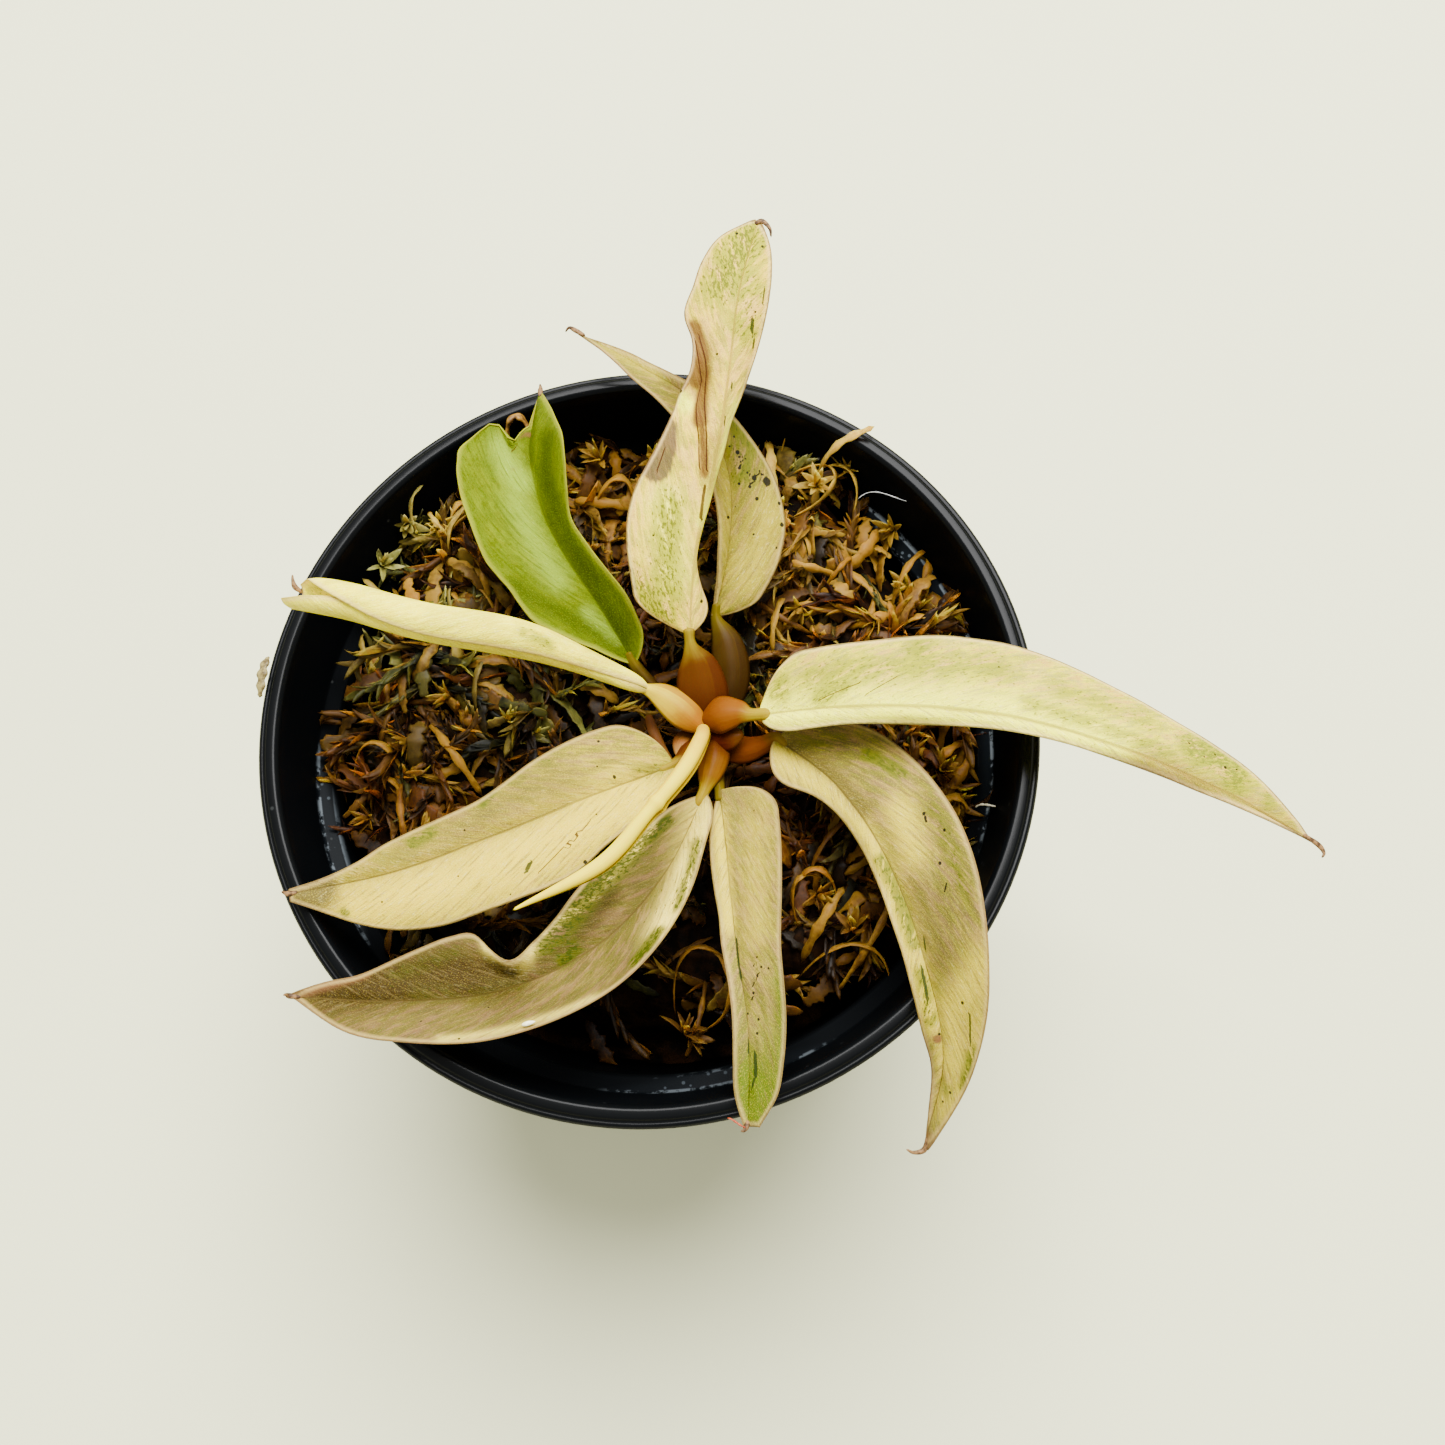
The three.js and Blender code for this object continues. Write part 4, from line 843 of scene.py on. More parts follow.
# Tints and strengths of a blade's markings: the cream leaves, the duller ones, and what each has of its own
# In every look, light and shade are the tints of painted highlight and painted shade, the glint tint and its
# strength make the painted glints, the rib tint is painted shade in the midrib, and the lip tint is partly
# painted edge highlight.
CREAM = {"base": "eac220", "second": "ca9e30", "pale": "f8e048", "light": "ffff30", "shade": "8f7726",
         "streak": "8a7440", "dim": 0.5, "mottled": 0.65, "blush": "c08c44", "wash": "7c7c0a",
         "green": "596008", "flecks": 0.06, "lime": "6b7300", "brown": "664226", "lip": "e2c07a",
         "rim": "4a3220", "margin": 0.7, "rib": 0.2, "rib_shade_tint": "9a7c28", "gloss": 0.06, "painted_glint": 0.5,
         "glint": "fff0a0"}
BUFF = {**CREAM, "base": "8a7a2e", "second": "75642c", "pale": "b9a52c", "light": "c8b224",
        "shade": "554a20", "streak": "5c4c28", "blush": "8a6a44", "wash": "585c0a", "green": "474c0e",
        "lip": "b69c58", "rib": 0.7, "rib_shade_tint": "4a3b18", "margin": 0.6, "glint": "d8c880"}
LOOKS = {
    "leaf_east": {**CREAM, "base": "d5c714", "second": "c0aa3c", "pale": "f0e230", "streak": "9c8c58",
                  "rim": "3c3026", "wash": "86880a", "green": "6a7016", "flecks": 0.15, "rib": 0.4},
    "leaf_southeast": {**BUFF, "base": "786a2e", "second": "665730", "gloss": 0.06},
    "leaf_south": {**BUFF, "base": "8a7a34", "second": "766634", "rib": 0.3, "lime": "485a00"},
    "leaf_southwest_lower": {**BUFF, "base": "5e5020", "second": "4e3e20", "blush": "78583a",
                             "shade": "281c02", "gloss": 0.05, "mottled": 0.55, "painted_glint": 0.35,
                             "light": "e2cc50", "pale": "8a7830", "green": "2c3602", "wash": "404404",
                             "glint": "e8dca0"},
    "leaf_southwest_upper": {**BUFF, "base": "968618", "second": "857424", "light": "dcc020",
                             "pale": "c8b42c"},
    "leaf_green": {**CREAM, "base": "626e00", "second": "525e00", "pale": "6c7e00", "light": "7a9020",
                   "mottled": 0.4, "shade": "2a3600", "streak": "384400", "blush": "606600",
                   "wash": "4c5c00", "green": "3e4a00", "flecks": 0, "lip": "868c1c", "rim": "8c8824",
                   "margin": 0.6, "rib": 0.5, "rib_shade_tint": "343e06", "gloss": 0.02, "painted_glint": 0.2,
                   "glint": "b0c060"},
    "leaf_north_back": {**BUFF, "base": "7a6a1c", "second": "6a5c20", "light": "a8981c", "rib": 0.4},
    "leaf_north": {**CREAM, "base": "f8d028", "second": "e8bc4a", "blush": "dcae5a", "wash": "94940e",
                   "dim": 0.36, "flecks": 0.09, "brown": "62401c"},
    "leaf_west": {**CREAM, "base": "ffee14", "second": "e0d014", "pale": "ffff48", "streak": "b8a830",
                  "mottled": 0.12, "dim": 0.15, "wash": "7c8008", "rim": "8a7830", "margin": 0.4, "rib": 0,
                  "flecks": 0},
}


def from_line(points, line):
    """How far points are from a bent line in their plane, and the sign of their side."""
    far, side = np.full(len(points), np.inf), np.ones(len(points))
    for start, end in zip(line, line[1:] or line):
        run = end - start
        share = np.clip((points - start) @ run / max(run @ run, 1e-9), 0, 1)
        near = np.linalg.norm(points - start - share[:, None] * run, axis=1)
        turn = run[0] * (points[:, 1] - start[1]) - run[1] * (points[:, 0] - start[0])
        side = np.where(near < far, np.where(turn < 0, -1.0, 1.0), side)
        far = np.minimum(near, far)
    return far, side


def write_marks(mesh, leaf, t, s, away):
    """Stores soft marks as masks, thin lines as the distance across them in their own reach, and specks
    as the offset from the nearest, each crisp kind with its gap in millimetres."""
    length = spine_length(leaf["spine"])
    plane = np.c_[t * length, away * np.sign(s)]
    unmarked = np.full(len(t), FAR_OFF)
    values, specks = {"speck_gap": unmarked}, np.c_[unmarked, unmarked]
    for kind, rows in leaf["marks"].items():
        if kind == "dark":
            rows = [([row[:2]], row[2]) for row in rows]
        for places, reach, *strength in rows:
            along, across = np.array(places, float).T
            line = list(np.c_[along * length, blade_surface(leaf, along, across)[1] * np.sign(across)])
            far, side = from_line(plane, line)
            if kind in SOFT_MARKS:
                values[kind] = np.maximum(values.get(kind, 0), strength[0] * np.exp(-(far / reach) ** 2))
                continue
            gap_name = kind + "_gap" if kind in LINE_MARKS else "speck_gap"
            gap = values.get(gap_name, unmarked)
            closer = far - reach < gap
            values[gap_name] = np.where(closer, far - reach, gap)
            if kind in LINE_MARKS:
                values[kind] = np.where(closer, side * far / reach, values.get(kind, unmarked))
            else:
                specks = np.where(closer[:, None], (plane - line[0]) / reach, specks)
    write_uv(mesh, "specks", specks)
    for kind, field in values.items():
        write_attribute(mesh, kind, field)


def blade_mesh(name, leaf, across, ahead):
    """A fine sheet on the leaf's surface with its maps and marks, and how thick it is at each point."""
    mesh = mesh_from(flat_grid(across, ahead), name)
    grid = points_of(mesh)
    s = np.sin(grid[:, 0] * np.pi / 2) * 0.35 + grid[:, 0] * 0.65
    t = (1 - np.cos(grid[:, 1] * np.pi)) / 2 * 0.5 + grid[:, 1] * 0.5
    points, away, inset = blade_surface(leaf, t, s)
    move_points(mesh, points)
    lean = np.radians(VEIN_LEAN)
    along = t * spine_length(leaf["spine"])
    write_uv(mesh, "veins", np.c_[along * np.cos(lean) + away * np.sin(lean) + 40 * (s > 0),
                                  away * np.cos(lean) - along * np.sin(lean) + 60 * (s > 0)])
    write_attribute(mesh, "away", away)
    write_attribute(mesh, "inset", inset)
    write_marks(mesh, leaf, t, s, away)
    return mesh, (1 - 0.6 * s * s) * np.clip(inset / 1.5 + 0.35, 0.35, 1)


def thicken(piece, weights, thickness):
    """Gives a sheet its thickness, in full where the weight is one."""
    group = piece.vertex_groups.new(name="thickness")
    for index, weight in enumerate(weights):
        group.add([index], float(weight), "REPLACE")
    wall = piece.modifiers.new("thickness", "SOLIDIFY")
    wall.thickness = thickness
    wall.offset = 0
    wall.vertex_group = group.name


# Settings that a user would change

class PotSettings(bpy.types.PropertyGroup):
    """Nursery pot"""

    segments: bpy.props.IntProperty(name="Segments", description="Steps round the pot", default=160, min=24)
    plastic: bpy.props.FloatVectorProperty(
        name="Plastic", description="Colour of the black plastic", subtype="COLOR", size=4,
        default=tint("030405"))


class MossSettings(bpy.types.PropertyGroup):
    """Sphagnum moss"""

    seed: bpy.props.IntProperty(name="Seed", description="Start of the random lie of the moss", default=5)
    shoots: bpy.props.IntProperty(name="Shoots", description="Leafy shoots in the bed", default=390, min=10)
    fronds: bpy.props.IntProperty(name="Fronds", description="Broad soft fronds among the shoots",
                                  default=600, min=1)
    loose: bpy.props.IntProperty(name="Loose strands", description="Thin strands on the bed",
                                 default=230, min=1)


class LeafSettings(bpy.types.PropertyGroup):
    """Leaf blades"""

    thickness: bpy.props.FloatProperty(
        name="Thickness", description="Thickness of a blade at its midrib", default=0.0007, unit="LENGTH",
        precision=4)
    fineness: bpy.props.IntProperty(name="Fineness", description="Faces along a blade", default=130, min=16)


class StudioSettings(bpy.types.PropertyGroup):
    """Floor, lights and camera"""

    floor: bpy.props.FloatVectorProperty(
        name="Floor", description="Colour of the floor", subtype="COLOR", size=4, default=tint("d6d7af"))
    key: bpy.props.FloatProperty(name="Key light", description="Power of the soft light above", default=94.0,
                                 unit="POWER")
    lens: bpy.props.FloatProperty(name="Lens", description="Focal length of the camera", default=37.37,
                                  unit="CAMERA")


# Operators

class PHILO_OT_studio(bpy.types.Operator):
    """Make the floor, the soft lights and the camera"""

    bl_idname = "philo.studio"
    bl_label = "Studio"

    def execute(self, context):
        settings = context.scene.philo_studio
        bm = bmesh.new()
        bmesh.ops.create_grid(bm, x_segments=8, y_segments=8, size=FLOOR_SIZE)
        mesh = mesh_from(bm, "floor")
        finish = Finish("floor", settings.floor, {"Roughness": 0.6, "Specular IOR Level": 0.2})
        finish.paint(finish.noise(finish.place(), 9, 3).step(0.3, 0.8) * 0.12, "c3c39c")
        finish.set("Base Color", finish.colour)
        mesh.materials.append(finish.material)
        floor = bpy.data.objects.new("floor", mesh)
        floor.location.z = -FLOOR_GAP
        context.scene.collection.objects.link(floor)
        self.light(context, "key", KEY_PLACE, KEY_SIZE, settings.key)
        world = bpy.data.worlds.new("studio")
        world.use_nodes = True
        sky = world.node_tree.nodes["Background"].inputs
        sky["Color"].default_value = tint("fffff6")
        sky["Strength"].default_value = SKY_STRENGTH
        context.scene.world = world
        data = bpy.data.cameras.new("camera")
        data.lens = settings.lens
        data.sensor_width = FILM_WIDTH
        camera = bpy.data.objects.new("camera", data)
        context.scene.collection.objects.link(camera)
        eye = Vector(CAMERA_PLACE)
        back = (eye - Vector(CAMERA_AIM)).normalized()
        across = Vector((0, 1, 0)).cross(back).normalized()
        turn = Matrix((across, back.cross(across), back)).transposed().to_4x4()
        camera.matrix_world = Matrix.Translation(eye * MM) @ turn
        context.scene.camera = camera
        return {"FINISHED"}

    def light(self, context, name, place, size, power):
        data = bpy.data.lights.new(name, "AREA")
        data.shape = "DISK"
        data.size = size
        data.energy = power
        lamp = bpy.data.objects.new(name, data)
        lamp.location = place
        lamp.rotation_euler = (-Vector(place)).to_track_quat("-Z", "Y").to_euler()
        context.scene.collection.objects.link(lamp)


class PHILO_OT_pot(bpy.types.Operator):
    """Spin the nursery pot, with its double rim, inner ledge and drain holes"""

    bl_idname = "philo.pot"
    bl_label = "Pot"

    # Dried residue on the ledge: a direction, how far out it starts in metres, and its strength
    residue = ((-0.95, -0.3, 0.0425, 0.45), (0.84, 0.55, 0.0425, 1), (1, -0.06, 0.0435, 0.7),
               (0.2, -0.98, 0.0425, 0.25))

    def execute(self, context):
        settings = context.scene.philo_pot
        mesh = spun(POT_PROFILE, settings.segments, "pot", POT_ROUNDING)
        piece = show(mesh, "nursery_pot", self.plastic(settings), ["pot"])
        self.drill(piece)
        return {"FINISHED"}

    def drill(self, piece):
        """Cuts the drain holes through the floor."""
        bm = bmesh.new()
        for k in range(DRAINS["count"]):
            angle = 2 * math.pi * (k + 0.5) / DRAINS["count"]
            place = Vector((math.cos(angle), math.sin(angle), 0)) * DRAINS["circle"] * MM
            bmesh.ops.create_cone(bm, cap_ends=True, segments=24, radius1=DRAINS["radius"] * MM,
                                  radius2=DRAINS["radius"] * MM, depth=DRAINS["depth"] * MM,
                                  matrix=Matrix.Translation(place))
        cutter = bpy.data.objects.new("drain_cutter", mesh_from(bm, "drain_cutter"))
        bpy.context.scene.collection.objects.link(cutter)
        cut = piece.modifiers.new("drains", "BOOLEAN")
        cut.object = cutter
        cut.solver = "EXACT"
        shape = piece.evaluated_get(bpy.context.evaluated_depsgraph_get())
        drilled = bpy.data.meshes.new_from_object(shape)
        piece.modifiers.clear()
        piece.data = drilled
        bpy.data.objects.remove(cutter)
        drilled.set_sharp_from_angle(angle=POT_CREASE)

    def plastic(self, settings):
        """Black plastic, dull inside and glossy on its rim, with dried residue on the inner ledge."""
        finish = Finish("black_plastic", settings.plastic,
                        {"IOR": 1.5, "Specular IOR Level": 0.02, "Coat Roughness": 0.25})
        place = finish.place()
        cloud = finish.noise(place, 60, 4)
        grain = finish.noise(place, 1400, 3)
        run = finish.noise(place, 420, 5, 0.7)
        x, y, height = (finish.axis(place, name) for name in "XYZ")
        ledge = height.step(0.066, 0.067) * (1 - height.step(0.0687, 0.0695))
        radius = finish.length(finish.stretch(place, (1, 1, 0)))
        edge = sum(1 - abs(radius - line).step(0.0001, 0.0003) for line in (0.0434, 0.0453))
        film = sum((x * east + y * north).step(start, start + 0.0014) * share
                   for east, north, start, share in self.residue) * ledge
        finish.paint(cloud.step(0.4, 0.7) * 0.5, "050607")
        finish.paint(film * (0.5 + run * 0.5), "0e1317")
        finish.paint(film * edge * run.step(0.47, 0.55), "6a7278")
        finish.paint(film * finish.specks(place, 900, 0.3, 0.24), "4a5258")
        finish.paint(finish.specks(place, 700, 0.04, 0.2) * 0.5, "2c2e2e")
        finish.set("Coat Weight", height.step(0.0775, 0.079) * 0.12 + film * 0.05)
        return finish.done(0.36 + cloud * 0.2 + ledge * 0.3, cloud * 0.4 + grain * 0.12 + film * run * 0.4,
                           0.2, 0.0002)


class PHILO_OT_moss_bed(bpy.types.Operator):
    """Spin the bed of moss and raise its mounds"""

    bl_idname = "philo.moss_bed"
    bl_label = "Moss bed"

    # Rings and steps of the spun bed, and how far it lies below the shoots in mm
    rings = 74
    steps = 200
    sink = 1.0

    def execute(self, context):
        top = [(r, MOSS_LEVEL) for r in np.linspace(0, MOSS_EDGE, self.rings)]
        mesh = spun(top + [MOSS_FOOT, (0, MOSS_FOOT[1])], self.steps, "moss_bed")
        points = points_of(mesh) / MM
        x, y = points[:, 0], points[:, 1]
        rough = 0.9 * bumps(x / 1.3, y / 1.3 + 9) + 0.5 * bumps(x / 0.6 + 3, y / 0.6)
        raised = moss_height(x, y) - self.sink + rough
        points[:, 2] = np.where(points[:, 2] > MOSS_LEVEL / 2, raised, points[:, 2])
        move_points(mesh, keep_in_pot(points))
        # The bed is near black: painted shade for the deep gaps between the shoots, a little lighter in
        # clumps.
        finish = Finish("bed_painted_shade", "060301", {"Specular IOR Level": 0.05})
        clump = finish.noise(finish.place(), 260, 5, 0.65)
        finish.paint(clump.step(0.4, 0.65), "1e0f03")
        show(mesh, "moss_bed", finish.done(0.7 + clump * 0.2, clump, 0.9, 0.0008), ["moss"])
        return {"FINISHED"}


def moss_finish(name):
    """Damp sphagnum: each leaf has its own tone, is paler to its tip and leans to olive, gold or rust. On the
    shoots the tone also holds painted shade, darker the deeper they lie in the bed, down to near black.
    """
    finish = Finish(name, MOSS_TINTS[0][0], {"Specular IOR Level": 0.1, "Subsurface Weight": 0.5,
                                             "Subsurface Scale": 0.0018,
                                             "Subsurface Radius": (1, 0.6, 0.25)})
    tone, lean = finish.attribute("tone"), finish.attribute("lean")
    place = finish.place()
    fibre = finish.noise(place, 1100, 4, 0.65)
    light = tone + fibre * 0.5 + finish.noise(place, 320, 3) * 0.4 - 0.47
    rusty, golden = lean.step(0.5, 0.95), lean.step(0.05, 0.5)
    finish.colour, *shades = (finish.mix(rusty, finish.mix(golden, tint(olive), tint(gold)), tint(rust))
                              for olive, gold, rust in MOSS_TINTS)
    for shade, low, high in zip(shades, (0.02, 0.36, 0.74), (0.36, 0.72, 1.2)):
        finish.paint(light.step(low, high), shade)
    return finish.done(0.36 + fibre * 0.3, fibre, 0.4, 0.0002)


class PHILO_OT_moss_shoots(bpy.types.Operator):
    """Lay leafy shoots, star-shaped tips and toothed fronds of sphagnum over the bed"""

    bl_idname = "philo.moss_shoots"
    bl_label = "Moss shoots"

    # Leaves on a shoot and on a star tip, and where the star tips are in mm
    leaves_each = 15
    star_leaves = 11
    stars = [(-37, 25, 73), (-34, 30.5, 73.5), (-29.5, 30.5, 73), (-36, 19, 71.5), (34.4, 21.3, 70.5),
             (36, 19, 70), (32.7, 30, 70.5), (27, 38, 74), (22.5, 35, 75), (30, 16, 72), (4.6, -37.5, 68.5),
             (5.6, -38.5, 67.5), (40, -8.5, 70.5), (37, -12, 70.5), (38.5, -4, 71), (-19, 3.4, 71),
             (-16, 1, 70.5), (-13, 12, 70.5), (-33, 0, 71.5), (-27.5, 6, 72.5), (26, -25, 71.5),
             (22, -21, 71), (15.9, 14.2, 69), (-7.8, 41, 72), (0, 40.5, 72), (-22, 14, 72),
             (-38, -10, 69.5), (-30, -12, 70), (20, 18, 71.5)]

    def execute(self, context):
        settings = context.scene.philo_moss
        random = np.random.default_rng(settings.seed)
        self.shape = spindle_template(6, 5)
        template, t, _ = self.shape
        groups = [self.ropes(random, settings.shoots), self.star_tips(random)]
        points, tone, lean = (np.concatenate([group[k] for group in groups]) for k in range(3))
        points = keep_in_pot(points)
        tones = np.clip(tone[:, None] + 0.2 * (t[None, :] - 0.5), 0, 1.2)
        material = moss_finish("sphagnum")
        cuts = np.linspace(0, len(points), 3).astype(int)
        for name, start, end in zip("ab", cuts, cuts[1:]):
            mesh = copies(template, end - start, "moss_shoots_" + name)
            move_points(mesh, points[start:end].reshape(-1, 3))
            write_attribute(mesh, "tone", tones[start:end].ravel())
            write_attribute(mesh, "lean", np.repeat(lean[start:end], len(t)))
            show(mesh, "moss_shoots_" + name, material)
        self.fronds(random, settings.fronds, material)
        return {"FINISHED"}

    def spray(self, root, ahead, outward, spread, facing, *sizes):
        """Points of leaves that part from the way ahead by a spread and face outward, or inward."""
        way = ahead * np.cos(spread) + outward * np.sin(spread)
        normal = (outward * np.cos(spread) - ahead * np.sin(spread)) * facing
        return leaflets(self.shape[1:], *(part.reshape(-1, 3) for part in (root, way, normal)), *sizes)

    def turned(self, random, side, up, count, each):
        """Directions out from shoots, set round each by a steady turn."""
        spin = (np.arange(each)[None, :] * LEAF_TURN + random.uniform(0, 6, (count, 1)))[..., None]
        return side * np.cos(spin) + up * np.sin(spin)

    def ropes(self, random, count):
        """Shoots whose cupped leaves hug them closely and spread only at the tip."""
        each = self.leaves_each
        total = count * each
        x, y = scatter(random, count, 1)
        tone, lean, _ = moss_kind(x, y)
        paths = arched(random, x, y, random.uniform(0, 2 * np.pi, count), random.uniform(7, 13, count),
                       (1, 5))
        step = np.linspace(0.04, 1, each)[None, :] + random.uniform(-0.02, 0.02, (count, each))
        stem, ahead = along_paths(paths, np.clip(step, 0, 1))
        side = unit(np.cross(ahead, [0, 0, 1]))
        outward = self.turned(random, side, np.cross(side, ahead), count, each)
        spread = random.uniform(3, 14, step.shape) + random.uniform(8, 30, (count, 1)) * step**3
        size = random.uniform(3.6, 6.2, (count, 1)) * (1.1 - 0.35 * step)
        size = (size * random.uniform(0.8, 1.2, step.shape)).ravel()
        points = self.spray(stem, ahead, outward, np.radians(spread)[..., None], 1, size,
                            size * random.uniform(0.26, 0.46, total), np.full(total, 0.12),
                            random.uniform(-0.5, 0.9, total), -random.uniform(1, 2.2, total))
        # Painted shade: shoots that lie deep in the bed are darkened.
        sunk = np.clip((moss_height(x, y)[:, None] + 2.6 - stem[..., 2]) / 4, 0, 1)
        tone = (tone + random.normal(-0.04, 0.18, count))[:, None] * (1.12 - 0.9 * sunk) + 0.2 * (step - 0.5)
        tone = tone + random.normal(0, 0.03, step.shape)
        lean = np.repeat(np.clip(lean + random.normal(-0.04, 0.22, count), 0, 1), each)
        return points, tone.ravel(), lean

    def star_tips(self, random):
        """Leaf rosettes at the ends of some shoots."""
        places = np.array(self.stars, float)
        count, each = len(places), self.star_leaves
        total = count * each
        axis = unit(np.c_[random.normal(0, 0.9, (count, 2)), np.ones(count)])
        side = unit(np.cross(axis, [1, 0.2, 0]))
        outward = self.turned(random, side[:, None], np.cross(side, axis)[:, None], count, each)
        spread = np.linspace(10, 66, each)[None, :] + random.uniform(-8, 8, (count, each))
        size = random.uniform(2.4, 4, total)
        points = self.spray(np.repeat(places - axis * 0.8, each, 0), axis[:, None], outward,
                            np.radians(spread)[..., None], -1, size, size * random.uniform(0.36, 0.52, total),
                            np.full(total, 0.14), random.uniform(-0.5, 0.6, total),
                            random.uniform(0.5, 1.4, total))
        tone, lean, _ = moss_kind(places[:, 0], places[:, 1])
        tone = np.repeat(tone + 0.12, each) + random.normal(0, 0.06, total)
        return points, tone, np.repeat(np.clip(lean, 0, 1), each)

    def fronds(self, random, count, material):
        """Broad soft fronds with toothed edges that arch over one another."""
        template, t, around = spindle_template(8, FROND_RINGS)
        x, y = scatter(random, count, 1)
        count = len(x)
        paths = arched(random, x, y, random.uniform(0, 2 * np.pi, count), random.uniform(5, 12, count),
                       (0.5, 3.6))
        points = keep_in_pot(strands((t, around), paths, random.uniform(0.6, 1.6, count),
                                     random.uniform(0.1, 0.22, count), 0.4))
        tone, lean, _ = moss_kind(x, y)
        tones = (tone + random.normal(-0.08, 0.13, count))[:, None] + 0.3 * (t[None, :] - 0.5)
        mesh = copies(template, count, "moss_fronds")
        move_points(mesh, points.reshape(-1, 3))
        write_attribute(mesh, "tone", np.clip(tones, 0, 1.2).ravel())
        lean = np.clip(lean + random.normal(-0.06, 0.16, count), 0, 1)
        write_attribute(mesh, "lean", np.repeat(lean, len(t)))
        show(mesh, "moss_fronds", material)


def scatter(random, count, margin):
    """Places on the bed, more where the moss grows thick."""
    tries = 8 * count
    angle = random.uniform(-np.pi, np.pi, tries)
    away = max(MOSS_REACH[1]) * np.sqrt(random.uniform(0.001, 1, tries))
    x, y = away * np.cos(angle), away * np.sin(angle)
    bright, _, thick = moss_kind(x, y)
    clump = np.clip(0.3 + 1.3 * bright + 1.1 * bumps(x / 4.2 + 7, y / 4.2 + 3), 0.1 + 0.9 * bright, 1)
    kept = (away < moss_reach(x, y) - margin) & (random.uniform(0, 1, tries) < thick * clump)
    return x[kept][:count], y[kept][:count]


def arched(random, x, y, heading, length, rise):
    """Curves that rise from the bed, swerve and come down again."""
    count = len(x)
    run = np.c_[np.cos(heading), np.sin(heading), np.zeros(count)] * length[:, None]
    swerve = np.c_[-run[:, 1], run[:, 0], np.zeros(count)] * random.uniform(-0.7, 0.7, count)[:, None]
    up = np.c_[np.zeros((count, 2)), random.uniform(*rise, count)]
    start = np.c_[x, y, moss_height(x, y) - 1]
    return np.stack([start, start + run * 0.3 + up, start + run * 0.7 + swerve * 0.4 + up,
                     start + run * 0.9 + swerve + up * 0.35], 1)


